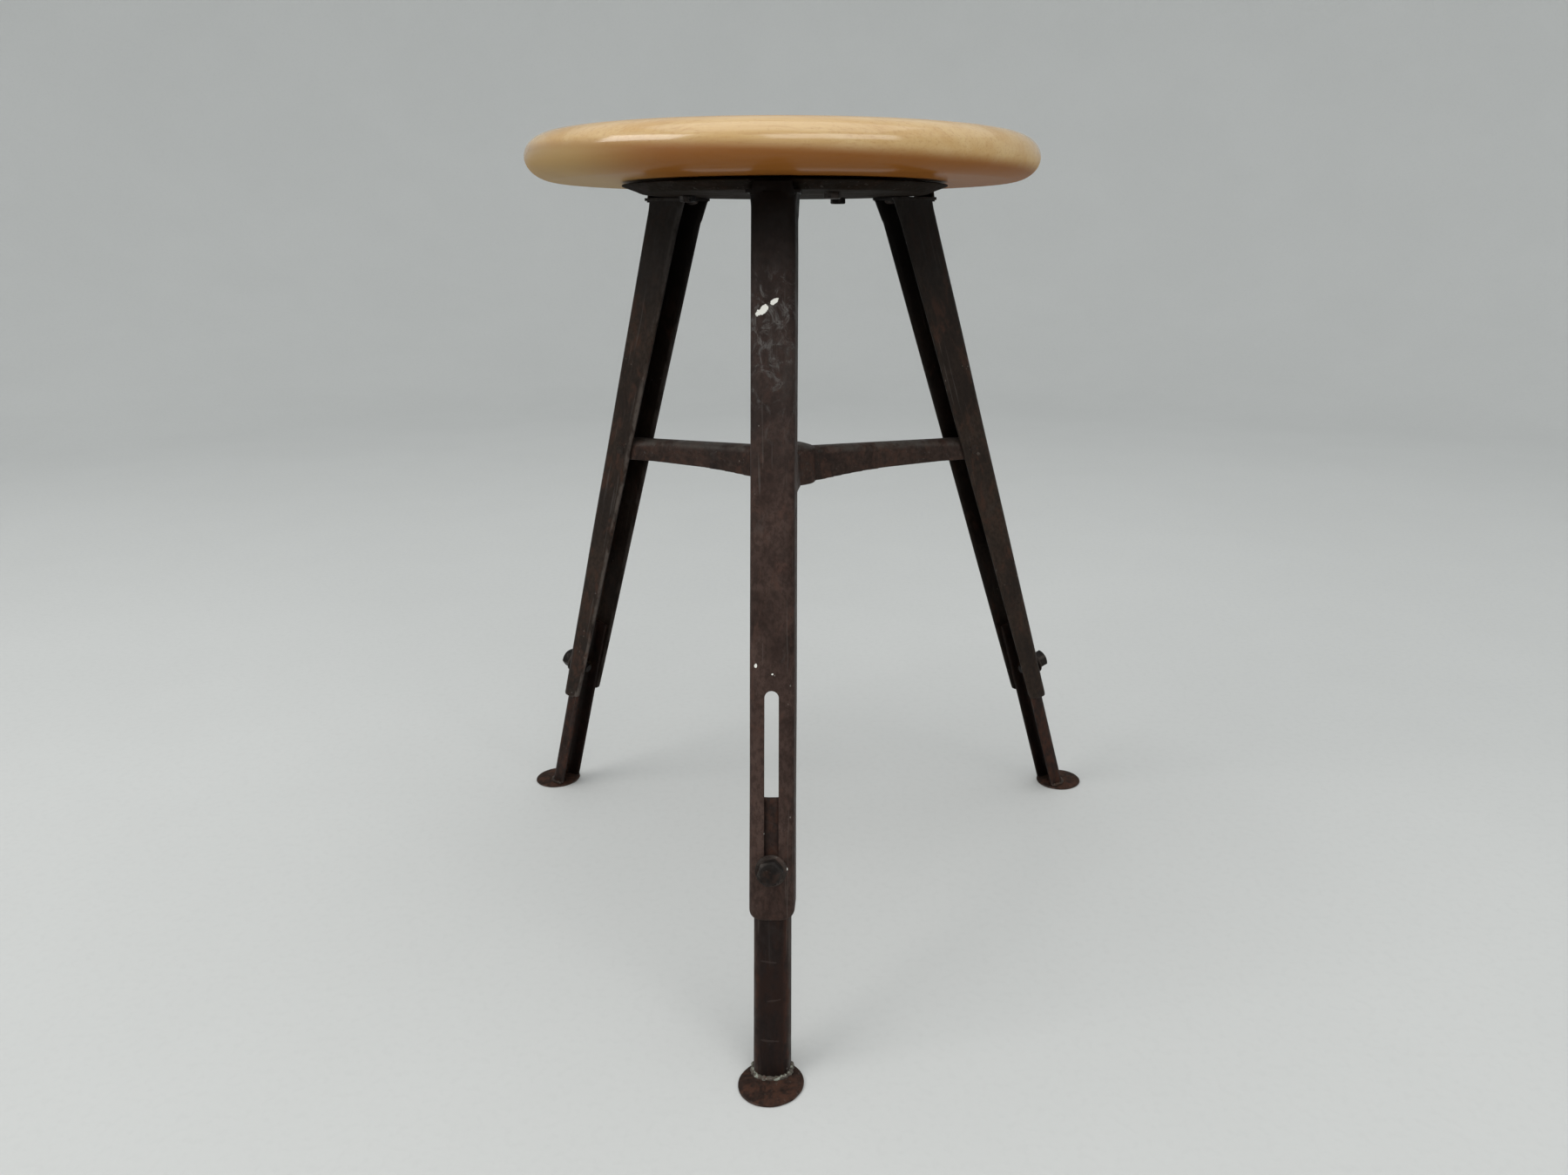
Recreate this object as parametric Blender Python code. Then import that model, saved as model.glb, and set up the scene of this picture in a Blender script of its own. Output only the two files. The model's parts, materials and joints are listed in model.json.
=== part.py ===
"""Three-legged workshop stool: turned wooden seat on a swivel, pressed-steel legs that telescope."""
from math import cos, pi, radians, sin, sqrt, tan

import bmesh
import bpy
from mathutils import Matrix, Vector

for old in list(bpy.data.objects):
    bpy.data.objects.remove(old, do_unlink=True)

# ---------------------------------------------------------------- dimensions (metres)
GAP = 0.0003                 # air between touching pieces
CUT = 0.005                  # how far a cutter runs past the face it opens

SEAT_R = 0.1750              # wooden seat board
SEAT_T = 0.0295
SEAT_NOSE = 0.0195           # how far in from the rim the rounding starts
SEAT_Z = 0.5250              # underside of the board
SEAT_FLAT_R = 0.070          # ring of points that keeps the flat faces' triangles short
RECESS_R, RECESS_DEPTH = 0.0130, 0.0085

PAN_RIM_R = 0.1126           # shallow dished pan that carries the swivel
PAN_FLOOR_R = 0.0995
PAN_Z = 0.5172               # underside of the pan
PAN_DEPTH = 0.0046
PAN_T = 0.0015
PAN_BEND = 0.0004            # rise of the rounded bend between floor and wall

RING_IN, RING_OUT, RING_T = 0.030, 0.080, 0.0024
PLATE_R, PLATE_T = 0.078, 0.0030
RING_BOLT_AT, RING_BOLT_ANGLES = 0.069, (60.0, 180.0, 300.0)
RING_BOLT_AF, RING_BOLT_HEAD_T, RING_BOLT_R, RING_BOLT_HOLE_R = 0.0100, 0.0042, 0.0030, 0.0033
SCREW_AT, SCREW_ANGLES = 0.055, (45.0, 135.0, 225.0, 315.0)
SCREW_HEAD_R, SCREW_R, SCREW_HOLE_R = 0.0037, 0.0019, 0.0023
SCREW_CONE, SCREW_END, SCREW_TIP = 0.0018, 0.0125, 0.0155
SINK_R, PILOT_DEPTH = 0.0042, 0.0165
PIVOT_HOLE_R = 0.0046
PIVOT_AF, PIVOT_HEAD_T, PIVOT_R, PIVOT_LEN = 0.0130, 0.0053, 0.0040, 0.0200
PIVOT_NUT_T, PIVOT_WASHER_R, PIVOT_WASHER_T = 0.0065, 0.0085, 0.0016

SPLAY = radians(17.2)        # every leg leans outward by this much
CREST_TOP_R = 0.1151         # outer face of the leg web just under the pan
LEG_ANGLES = {"front": -90.0, "right": 30.0, "left": 150.0}
BOLT_Z = 0.1246              # height of the clamp bolt with the leg fully out

UPPER_W_TOP, UPPER_W_LOW = 0.0272, 0.0276
UPPER_D_TOP, UPPER_D_LOW = 0.0322, 0.0190
UPPER_ROUND_TOP, UPPER_ROUND_LOW = 0.0060, 0.0072
UPPER_T = 0.0020
UPPER_END_Z = 0.0955         # bottom of the upper leg's web
END_LIFT, END_ROUND_D = 0.0032, 0.0100       # rounding up of the bottom edge at the web's corners
FLARE_W, FLARE_D, FLARE_LEN = 0.0017, 0.0040, 0.010
LIP_ROUND = 0.006
SLOT_W, SLOT_TOP, SLOT_LOW = 0.0088, 0.1078, -0.0064

FLANGE_T, FLANGE_IN_R, FLANGE_HALF_W, FLANGE_TAPER = 0.0020, 0.0790, 0.0165, 0.94
LUG_T, LUG_HALF_W, LUG_TOP_Z, LUG_TAPER = 0.0022, 0.0135, 0.5216, 0.86
LEG_RIVET_AT, LEG_RIVET_SIDE = 0.0895, 0.0078
LEG_RIVET_R, LEG_RIVET_HOLE_R = 0.0025, 0.0028
LEG_RIVET_HEAD_R, LEG_RIVET_HEAD_T, LEG_RIVET_TAIL_R, LEG_RIVET_TAIL_T = 0.0046, 0.0024, 0.0044, 0.0015

LOWER_W, LOWER_D, LOWER_ROUND, LOWER_T = 0.0224, 0.0145, 0.0080, 0.0022
LOWER_TOP = 0.0432           # top end of the lower leg above the bolt, along the leg
PAD_R, PAD_T, PAD_EDGE_T = 0.0200, 0.0034, 0.0016
PAD_CENTRE_R = 0.2722

BOLT_R, HEAD_AF, HEAD_T, BOLT_SPARE = 0.0040, 0.0140, 0.0084, 0.0022
WASHER_R, WASHER_T, WASHER_EASE, WASHER_EDGE = 0.0096, 0.0018, 0.0004, 0.0003
NUT_AF, NUT_T, NUT_FROM = 0.0130, 0.0060, 0.0064

ARM_END_R, ARM_ROUND, ARM_T = 0.1640, 0.0070, 0.0016
ARM_HALF_W, ARM_END_HALF_W, ARM_WIDEN_R, ARM_WIDE_R = 0.0080, 0.0114, 0.126, 0.149
ARM_TOP_Z, ARM_FALL, ARM_STRAIGHT_R = 0.3402, 0.0052, 0.130
ARM_LOW_Z, ARM_DROP, ARM_DROP_R = 0.3181, 0.0066, 0.085
ARM_TIP_LEN, ARM_TIP_EASE = 0.0080, 0.0035
ARM_RIVET_R, ARM_RIVET_Z, ARM_RIVET_SHANK = 0.1565, 0.3260, 0.0026
ARM_RIVET_SINK_R, ARM_RIVET_SINK = 0.0038, 0.0012
HUB_R, HUB_TOP_Z, HUB_LOW_Z = 0.0178, 0.3428, 0.3138
HUB_CROWN_R, HUB_SLOPE = 0.0100, 0.0026
HOLLOW_LOW_Z = 0.290         # where the cutters for the brace's inside end, below its lip

SEG = 48                     # facets round a large circle
SPOT_TURN = 7.0              # degrees a small cutter is turned, off the facets around it
UPPER_POWER, LOWER_POWER, ARM_POWER = 2.5, 2.3, 2.4      # squareness of the rounded webs
HEX_RISE, HEX_RUN = 0.15, 1.6        # corner chamfer of a hexagon: share of its height, slope
PAD_CROWN = ((0.86, 0.68), (0.72, 0.86), (0.58, 0.97), (0.45, 1.0))   # shares of radius and height


# ---------------------------------------------------------------- materials
def material(name, colour, roughness, metallic):
    mat = bpy.data.materials.new(name)
    mat.use_nodes = True
    bsdf = mat.node_tree.nodes["Principled BSDF"]
    bsdf.inputs["Base Color"].default_value = (*colour, 1.0)
    bsdf.inputs["Roughness"].default_value = roughness
    bsdf.inputs["Metallic"].default_value = metallic
    return mat


WOOD = ((0.62, 0.42, 0.22), 0.25, 0.0)
DARK = ((0.050, 0.036, 0.031), 0.55, 0.7)
BROWN = ((0.075, 0.042, 0.034), 0.60, 0.6)
RUST = ((0.095, 0.055, 0.045), 0.70, 0.5)
BOLT = ((0.045, 0.034, 0.030), 0.50, 0.8)
PLAIN = ((0.30, 0.29, 0.27), 0.40, 0.9)


# ---------------------------------------------------------------- mesh helpers
def make(name, bm, look=None):
    bmesh.ops.recalc_face_normals(bm, faces=bm.faces)
    mesh = bpy.data.meshes.new(name)
    bm.to_mesh(mesh)
    bm.free()
    obj = bpy.data.objects.new(name, mesh)
    bpy.context.collection.objects.link(obj)
    if look:
        mesh.materials.append(material(name + "_finish", *look))
    return obj


def loft(rings):
    """Solid skinned through rings of equal length, capped at both ends."""
    bm = bmesh.new()
    rows = [[bm.verts.new(p) for p in ring] for ring in rings]
    count = len(rows[0])
    for low, high in zip(rows, rows[1:]):
        for i in range(count):
            j = (i + 1) % count
            bm.faces.new((low[i], low[j], high[j], high[i]))
    bm.faces.new(rows[0])
    bm.faces.new(rows[-1])
    return bm


def turned(profile, segments=SEG):
    """Solid of revolution about Z; a profile point at radius 0 becomes a pole."""
    bm = bmesh.new()
    rows = []
    for r, z in profile:
        if r == 0.0:
            rows.append([bm.verts.new((0.0, 0.0, z))])
        else:
            rows.append([bm.verts.new((r * cos(2 * pi * k / segments),
                                       r * sin(2 * pi * k / segments), z)) for k in range(segments)])
    for low, high in zip(rows, rows[1:] + rows[:1]):
        if len(low) == 1 and len(high) == 1:
            continue
        for k in range(segments):
            n = (k + 1) % segments
            ring = [low[0]] if len(low) == 1 else [low[k], low[n]]
            ring += [high[0]] if len(high) == 1 else [high[n], high[k]]
            bm.faces.new(ring)
    return bm


def boxed(x0, x1, y0, y1, z0, z1):
    return loft([[(x0, y0, z), (x1, y0, z), (x1, y1, z), (x0, y1, z)] for z in (z0, z1)])


def rod(r, z0, z1, segments=24):
    return turned([(0.0, z0), (r, z0), (r, z1), (0.0, z1)], segments)


def boolean(target, cutter_bm, operation, place=Matrix.Identity(4)):
    """Cut with or join a helper solid and bake the result into the target's mesh."""
    cutter = make("cutter", cutter_bm)
    cutter.matrix_world = place
    cutter.hide_render = True
    cutter.display_type = "WIRE"
    mod = target.modifiers.new("op", "BOOLEAN")
    mod.operation = operation
    mod.solver = "EXACT"
    mod.object = cutter
    bpy.context.view_layer.update()
    graph = bpy.context.evaluated_depsgraph_get()
    result = bpy.data.meshes.new_from_object(target.evaluated_get(graph))
    target.modifiers.clear()
    result.name = target.data.name
    target.data = result
    bpy.data.objects.remove(cutter, do_unlink=True)


def weld_up(obj):
    """Merge the stray near-duplicate corners a Boolean can leave."""
    bm = bmesh.new()
    bm.from_mesh(obj.data)
    bmesh.ops.remove_doubles(bm, verts=bm.verts, dist=1e-6)
    bmesh.ops.dissolve_degenerate(bm, edges=bm.edges, dist=1e-6)
    bm.to_mesh(obj.data)
    bm.free()


def shade_round(obj, limit=35.0):
    """Smooth shading with creases kept on edges sharper than the limit."""
    bm = bmesh.new()
    bm.from_mesh(obj.data)
    for face in bm.faces:
        face.smooth = True
    for edge in bm.edges:
        if len(edge.link_faces) == 2:
            edge.smooth = edge.calc_face_angle(0.0) < radians(limit)
    bm.to_mesh(obj.data)
    bm.free()


def dome(r, z0, height, steps=5):
    """Profile points of a low dome standing on z0 (negative height hangs it below)."""
    return [(r * cos(pi / 2 * k / steps), z0 + height * sin(pi / 2 * k / steps))
            for k in range(steps)] + [(0.0, z0 + height)]


# ---------------------------------------------------------------- frames
def radial(angle):
    a = radians(angle)
    return Vector((cos(a), sin(a), 0.0)), Vector((-sin(a), cos(a), 0.0))


def spot(angle, r, sideways=0.0):
    """Placement of an upright helper r out from the axis, turned a little off the facets around it."""
    out, across = radial(angle)
    return (Matrix.Translation(out * r + across * sideways)
            @ Matrix.Rotation(radians(angle + SPOT_TURN), 4, "Z"))


CREST_BOLT_R = CREST_TOP_R + (PAN_Z - GAP - BOLT_Z) * tan(SPLAY)


def leg_place(obj, angle):
    """Local X across the leg, Y straight out of its web, Z up along it; zero at the clamp bolt."""
    out, _ = radial(angle)
    obj.location = out * CREST_BOLT_R + Vector((0.0, 0.0, BOLT_Z))
    obj.rotation_euler = (SPLAY, 0.0, radians(angle - 90.0))


def level(y, z):
    """Distance along the leg at which a point y out from the web crest reaches height z."""
    return (z - BOLT_Z - y * sin(SPLAY)) / cos(SPLAY)


# ---------------------------------------------------------------- channel section
def web_curve(half_w, depth, rounding, power, steps=18):
    """Outline of a U channel from one lip round the rounded web to the other lip."""
    pts = [(-half_w, -depth)]
    for k in range(steps + 1):
        a = pi * k / steps
        c, s = cos(a), sin(a)
        x = -half_w * (1 if c >= 0 else -1) * abs(c) ** (2 / power)
        pts.append((x, -rounding + rounding * abs(s) ** (2 / power)))
    pts.append((half_w, -depth))
    return pts


def channel(half_w, depth, rounding, wall, power=UPPER_POWER):
    """Closed outline of the channel's sheet: outer curve, then the inner one back."""
    outer = web_curve(half_w, depth, rounding, power)
    inner = web_curve(half_w - wall, depth - wall, max(rounding - wall, 0.001), power)
    inner = [(x, y - wall) for x, y in inner]
    return outer + inner[::-1]


def upper_section(s):
    """Half width, depth and rounding of the upper leg at distance s above the bolt."""
    top, low = level(0.0, PAN_Z), level(0.0, UPPER_END_Z)
    k = (s - low) / (top - low)
    f = max(0.0, 1.0 - (top - s) / FLARE_LEN) ** 2
    half_w = (UPPER_W_LOW + (UPPER_W_TOP - UPPER_W_LOW) * k) / 2 + FLARE_W * f
    depth = UPPER_D_LOW + (UPPER_D_TOP - UPPER_D_LOW) * k + FLARE_D * f
    rounding = UPPER_ROUND_LOW + (UPPER_ROUND_TOP - UPPER_ROUND_LOW) * k
    return half_w, depth, rounding


# ---------------------------------------------------------------- seat and swivel
def seat_board():
    mid, half = SEAT_Z + SEAT_T / 2, SEAT_T / 2
    nose = [(SEAT_R - SEAT_NOSE + SEAT_NOSE * cos(a), mid + half * sin(a))
            for a in [(-90 + 180 * k / 14) * pi / 180 for k in range(15)]]
    board = make("seat_board", turned([(0.0, SEAT_Z), (SEAT_FLAT_R, SEAT_Z)] + nose
                                      + [(SEAT_FLAT_R, SEAT_Z + SEAT_T), (0.0, SEAT_Z + SEAT_T)], 72), WOOD)
    boolean(board, rod(RECESS_R, SEAT_Z - CUT, SEAT_Z + RECESS_DEPTH, 36), "DIFFERENCE")
    for angle in SCREW_ANGLES:
        boolean(board, rod(SCREW_HOLE_R, SEAT_Z - CUT, SEAT_Z + PILOT_DEPTH, 12), "DIFFERENCE",
                spot(angle, SCREW_AT))
    weld_up(board)
    shade_round(board)


PLATE_Z = SEAT_Z - GAP - PLATE_T
RING_Z = PAN_Z + PAN_T + GAP


def swivel_plate():
    plate = make("swivel_plate", turned([(PIVOT_HOLE_R, PLATE_Z), (PLATE_R, PLATE_Z),
                                         (PLATE_R, PLATE_Z + PLATE_T), (PIVOT_HOLE_R, PLATE_Z + PLATE_T)],
                                        60), PLAIN)
    slope = SINK_R - SCREW_HOLE_R
    for angle in SCREW_ANGLES:
        hole = turned([(0.0, PLATE_Z - slope), (SINK_R + slope, PLATE_Z - slope), (SINK_R, PLATE_Z),
                       (SCREW_HOLE_R, PLATE_Z + slope), (SCREW_HOLE_R, PLATE_Z + CUT),
                       (0.0, PLATE_Z + CUT)], 20)
        boolean(plate, hole, "DIFFERENCE", spot(angle, SCREW_AT))
    weld_up(plate)
    shade_round(plate)


def seat_screws():
    for n, angle in enumerate(SCREW_ANGLES, 1):
        out, _ = radial(angle)
        wood = SEAT_Z - PLATE_Z
        body = [(0.0, GAP), (SCREW_HEAD_R, GAP), (SCREW_R, GAP + SCREW_CONE),
                (SCREW_R, wood + SCREW_END), (0.0, wood + SCREW_TIP)]
        screw = make("seat_screw_%d" % n, turned(body, 20), PLAIN)
        screw.location = out * SCREW_AT + Vector((0.0, 0.0, PLATE_Z))
        shade_round(screw)


def bearing_ring():
    ring = make("bearing_ring", turned([(RING_IN, RING_Z), (RING_OUT, RING_Z),
                                        (RING_OUT, RING_Z + RING_T), (RING_IN, RING_Z + RING_T)],
                                       60), PLAIN)
    for angle in RING_BOLT_ANGLES:
        boolean(ring, rod(RING_BOLT_HOLE_R, RING_Z - CUT, RING_Z + CUT, 16), "DIFFERENCE",
                spot(angle, RING_BOLT_AT))
    weld_up(ring)
    shade_round(ring)


def seat_pan():
    rim = PAN_Z + PAN_DEPTH
    low, high = PAN_Z + PAN_BEND, PAN_Z + PAN_T
    pan = make("seat_pan", turned([(PIVOT_HOLE_R, PAN_Z), (PAN_FLOOR_R - 0.002, PAN_Z),
                                   (PAN_FLOOR_R + 0.001, low), (PAN_RIM_R, rim),
                                   (PAN_RIM_R, rim + PAN_T), (PAN_FLOOR_R + 0.0005, low + PAN_T),
                                   (PAN_FLOOR_R - 0.0025, high), (PIVOT_HOLE_R, high)], 96), DARK)
    for angle in RING_BOLT_ANGLES:
        boolean(pan, rod(RING_BOLT_HOLE_R, PAN_Z - CUT, PAN_Z + CUT, 16), "DIFFERENCE",
                spot(angle, RING_BOLT_AT))
    for angle in LEG_ANGLES.values():
        for side in (-1, 1):
            boolean(pan, rod(LEG_RIVET_HOLE_R, PAN_Z - CUT, PAN_Z + CUT, 16), "DIFFERENCE",
                    spot(angle, LEG_RIVET_AT, side * LEG_RIVET_SIDE))
    weld_up(pan)
    shade_round(pan)


def hexagon(af, height):
    """Hexagonal prism standing on z 0, its top corners taken off by a chamfer."""
    r, chamfer = af / sqrt(3.0), height * HEX_RISE
    rings = []
    for z, radius in ((0.0, r), (height - chamfer, r), (height, r - chamfer * HEX_RUN)):
        rings.append([(radius * cos(pi / 3 * k + pi / 6), radius * sin(pi / 3 * k + pi / 6), z)
                      for k in range(6)])
    return loft(rings)


def hex_bolt(name, af, head_t, shank_r, shank_len, look):
    """Bolt standing head up: the head starts at z 0 and the shank hangs below it."""
    bolt = make(name, hexagon(af, head_t), look)
    inside = head_t * 0.4
    shank = [(0.0, -shank_len), (shank_r - 0.0005, -shank_len), (shank_r, -shank_len + 0.0006),
             (shank_r, inside), (0.0, inside)]
    boolean(bolt, turned(shank, 24), "UNION")
    weld_up(bolt)
    return bolt


def hex_nut(name, af, thick, bore_r, look):
    nut = make(name, hexagon(af, thick), look)
    boolean(nut, rod(bore_r, -CUT, thick + CUT, 24), "DIFFERENCE")
    weld_up(nut)
    return nut


def washer(name, outer, inner, thick, look):
    edge = WASHER_EDGE
    flat = make(name, turned([(inner, 0.0), (outer - edge, 0.0), (outer, edge),
                              (outer, thick - edge), (outer - edge, thick), (inner, thick)], 28), look)
    shade_round(flat)
    return flat


def ring_bolts():
    for n, angle in enumerate(RING_BOLT_ANGLES, 1):
        out, _ = radial(angle)
        bolt = hex_bolt("ring_bolt_%d" % n, RING_BOLT_AF, RING_BOLT_HEAD_T, RING_BOLT_R,
                        PAN_T + RING_T + GAP, BOLT)
        bolt.location = out * RING_BOLT_AT + Vector((0.0, 0.0, PAN_Z - GAP))
        bolt.rotation_euler = (pi, 0.0, radians(17.0 * n))
        shade_round(bolt)


def pivot():
    bolt = hex_bolt("pivot_bolt", PIVOT_AF, PIVOT_HEAD_T, PIVOT_R, PIVOT_LEN, PLAIN)
    bolt.location = (0.0, 0.0, SEAT_Z)
    shade_round(bolt)
    under = PAN_Z - GAP
    flat = washer("pivot_washer", PIVOT_WASHER_R, PIVOT_R + WASHER_EASE, PIVOT_WASHER_T, BOLT)
    flat.location = (0.0, 0.0, under - PIVOT_WASHER_T)
    nut = hex_nut("pivot_nut", PIVOT_AF, PIVOT_NUT_T, PIVOT_R + GAP, BOLT)
    nut.location = (0.0, 0.0, under - PIVOT_WASHER_T - GAP)
    nut.rotation_euler = (pi, 0.0, 0.0)
    shade_round(nut)


# ---------------------------------------------------------------- legs
def end_level(x, y, half_w):
    """Distance along the leg of its bottom edge, which is rounded up at the corners of the web."""
    corner = min(1.0, abs(x) / half_w) ** 6 * max(0.0, 1.0 + y / END_ROUND_D)
    return level(y, UPPER_END_Z) + END_LIFT * corner


def upper_leg(side, angle):
    top, low = level(0.0, PAN_Z), level(0.0, UPPER_END_Z)
    first_s, last_s = low + 0.014, top - 0.016
    stations = [first_s + (last_s - first_s) * k / 8 for k in range(9)]
    stations += [top - 0.0105, top - 0.0085, top - 0.0065]
    half_w = upper_section(low)[0]
    rings = [[(x, y, end_level(x, y, half_w)) for x, y in channel(*upper_section(low), UPPER_T)]]
    for s in stations:
        rings.append([(x, y, s) for x, y in channel(*upper_section(s), UPPER_T)])
    under = PAN_Z - GAP
    for z in (under - FLANGE_T - 0.0008, under - FLANGE_T * 0.4):
        last = channel(*upper_section(level(0.0, z)), UPPER_T)
        rings.append([(x, y, level(y, z)) for x, y in last])
    leg = make("upper_leg_" + side, loft(rings), DARK)
    leg_place(leg, angle)
    bpy.context.view_layer.update()
    world = Matrix.Rotation(radians(angle), 4, "Z")
    flange = boxed(FLANGE_IN_R, CREST_TOP_R - 0.0006, -FLANGE_HALF_W, FLANGE_HALF_W,
                   under - FLANGE_T, under)
    for vert in flange.verts:
        if vert.co.x < (FLANGE_IN_R + CREST_TOP_R) / 2:
            vert.co.y *= FLANGE_TAPER
    boolean(leg, flange, "UNION", world)
    lug = boxed(CREST_TOP_R - LUG_T, CREST_TOP_R, -LUG_HALF_W, LUG_HALF_W,
                under - FLANGE_T - 0.0010, LUG_TOP_Z)
    for vert in lug.verts:
        if vert.co.z > under:
            vert.co.y *= LUG_TAPER
    boolean(leg, lug, "UNION", world)
    slot = stadium(SLOT_W / 2, SLOT_LOW, SLOT_TOP, -0.012, 0.010)
    boolean(leg, slot, "DIFFERENCE", leg.matrix_world)
    for side_sign in (-1, 1):
        boolean(leg, rod(LEG_RIVET_HOLE_R, under - CUT, under + CUT, 16), "DIFFERENCE",
                spot(angle, LEG_RIVET_AT, side_sign * LEG_RIVET_SIDE))
    across = Matrix.Translation((ARM_RIVET_R, 0.0, ARM_RIVET_Z)) @ Matrix.Rotation(pi / 2, 4, "X")
    boolean(leg, turned(sunk_profile(rivet_half(), GAP, CUT), 20), "DIFFERENCE", world @ across)
    for turn in (-1, 1):
        boolean(leg, lip_corner(turn), "DIFFERENCE", leg.matrix_world)
    weld_up(leg)
    shade_round(leg)


def stadium(r, z0, z1, y0, y1, steps=10):
    """Round-ended slot cutter running along local Z and through local Y."""
    outline = [(r * cos(pi * k / steps), z1 - r + r * sin(pi * k / steps)) for k in range(steps + 1)]
    outline += [(-r * cos(pi * k / steps), z0 + r - r * sin(pi * k / steps)) for k in range(steps + 1)]
    return loft([[(x, y, z) for x, z in outline] for y in (y0, y1)])


def lip_corner(turn):
    """Cutter that rounds the bottom corner of one flank where it meets the lip."""
    r = LIP_ROUND
    half_w, depth, _ = upper_section(level(0.0, UPPER_END_Z))
    y, z = -depth - 0.0006, level(-depth, UPPER_END_Z)
    outline = [(y - 0.002, z - 0.004), (y + r + 0.001, z - 0.004)]
    outline += [(y + r - r * sin(pi / 2 * k / 6), z + r - r * cos(pi / 2 * k / 6)) for k in range(7)]
    outline += [(y - 0.002, z + r)]
    x0, x1 = sorted((turn * 0.004, turn * (half_w + 0.004)))
    return loft([[(x, p, q) for p, q in outline] for x in (x0, x1)])


def rivet_half():
    """Half the distance over the outside of the flanks where the brace is riveted."""
    return upper_section(level(0.0, ARM_RIVET_Z))[0]


def sunk_profile(half, ease, beyond):
    """Half outline of a rivet with a cone at each end, widened by ease, its ends at half + beyond."""
    shank, cone, depth = ARM_RIVET_SHANK + ease, ARM_RIVET_SINK_R + ease, ARM_RIVET_SINK
    return [(0.0, -half - beyond), (cone, -half - beyond), (cone, -half), (shank, depth - half),
            (shank, half - depth), (cone, half), (cone, half + beyond), (0.0, half + beyond)]


def leg_rivets(side, angle):
    out, across = radial(angle)
    under = PAN_Z - GAP - FLANGE_T - GAP
    grip = PAN_Z + PAN_T + GAP - under
    for n, sign in ((1, -1), (2, 1)):
        body = dome(LEG_RIVET_HEAD_R, 0.0, -LEG_RIVET_HEAD_T, 3)[::-1]
        body += [(LEG_RIVET_R, 0.0), (LEG_RIVET_R, grip)]
        body += dome(LEG_RIVET_TAIL_R, grip, LEG_RIVET_TAIL_T, 3)
        rivet = make("leg_rivet_%s_%d" % (side, n), turned(body, 16), BOLT)
        rivet.location = out * LEG_RIVET_AT + across * sign * LEG_RIVET_SIDE + Vector((0.0, 0.0, under))
        shade_round(rivet)


WEB_BACK = -(UPPER_T + GAP)          # local Y of the lower leg's crest


def lower_leg(side, angle):
    foot_z = PAD_T + GAP
    section = [(x, y + WEB_BACK) for x, y in
               channel(LOWER_W / 2, LOWER_D, LOWER_ROUND, LOWER_T, LOWER_POWER)]
    rings = [[(x, y, level(y, foot_z)) for x, y in section]]
    rings += [[(x, y, s) for x, y in section] for s in (-0.110, -0.07, -0.03, 0.0, 0.02)]
    rings += [[(x, y, LOWER_TOP) for x, y in section]]
    leg = make("lower_leg_" + side, loft(rings), BROWN)
    leg_place(leg, angle)
    bpy.context.view_layer.update()
    hole = leg.matrix_world @ Matrix.Rotation(pi / 2, 4, "X")
    boolean(leg, rod(BOLT_R + GAP, -CUT, 2 * CUT, 24), "DIFFERENCE", hole)
    weld_up(leg)
    shade_round(leg)


def foot_pad(side, angle):
    out, _ = radial(angle)
    profile = [(0.0, 0.0), (PAD_R - 0.0006, 0.0), (PAD_R, 0.0005),
               (PAD_R - 0.0001, PAD_EDGE_T - 0.0004), (PAD_R - 0.0008, PAD_EDGE_T + 0.0001)]
    profile += [(PAD_R * wide, PAD_T * high) for wide, high in PAD_CROWN] + [(0.0, PAD_T)]
    pad = make("foot_pad_" + side, turned(profile, 48), RUST)
    pad.location = out * PAD_CENTRE_R
    shade_round(pad)


def clamp(side, angle):
    """Bolt through washer, slot and lower leg into a nut held inside the lower leg."""
    out, _ = radial(angle)
    normal = out * cos(SPLAY) + Vector((0.0, 0.0, sin(SPLAY)))
    centre = out * CREST_BOLT_R + Vector((0.0, 0.0, BOLT_Z))
    facing = (SPLAY - pi / 2, 0.0, radians(angle - 90.0))
    head_at = GAP + WASHER_T + GAP
    bolt = hex_bolt("clamp_bolt_" + side, HEAD_AF, HEAD_T, BOLT_R,
                    head_at + NUT_FROM + NUT_T + BOLT_SPARE, BOLT)
    flat = washer("clamp_washer_" + side, WASHER_R, BOLT_R + WASHER_EASE, WASHER_T, BOLT)
    nut = hex_nut("clamp_nut_" + side, NUT_AF, NUT_T, BOLT_R + GAP, BOLT)
    for piece, out_by in ((bolt, head_at), (flat, GAP), (nut, -NUT_FROM - NUT_T)):
        piece.location = centre + normal * out_by
        piece.rotation_euler = facing
        shade_round(piece)


# ---------------------------------------------------------------- brace
def arm_top(r):
    return ARM_TOP_Z - ARM_FALL * r / ARM_STRAIGHT_R


def arm_bottom(r):
    drop = ARM_DROP * max(0.0, 1.0 - r / ARM_DROP_R) ** 1.8
    return max(HUB_LOW_Z + 0.0002, ARM_LOW_Z - drop)


def arm_half_width(r):
    """The arm is narrow along its span and widens at its end to fit between the leg's flanks."""
    k = min(1.0, max(0.0, (r - ARM_WIDEN_R) / (ARM_WIDE_R - ARM_WIDEN_R)))
    return ARM_HALF_W + (ARM_END_HALF_W - ARM_HALF_W) * k * k * (3.0 - 2.0 * k)


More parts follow.
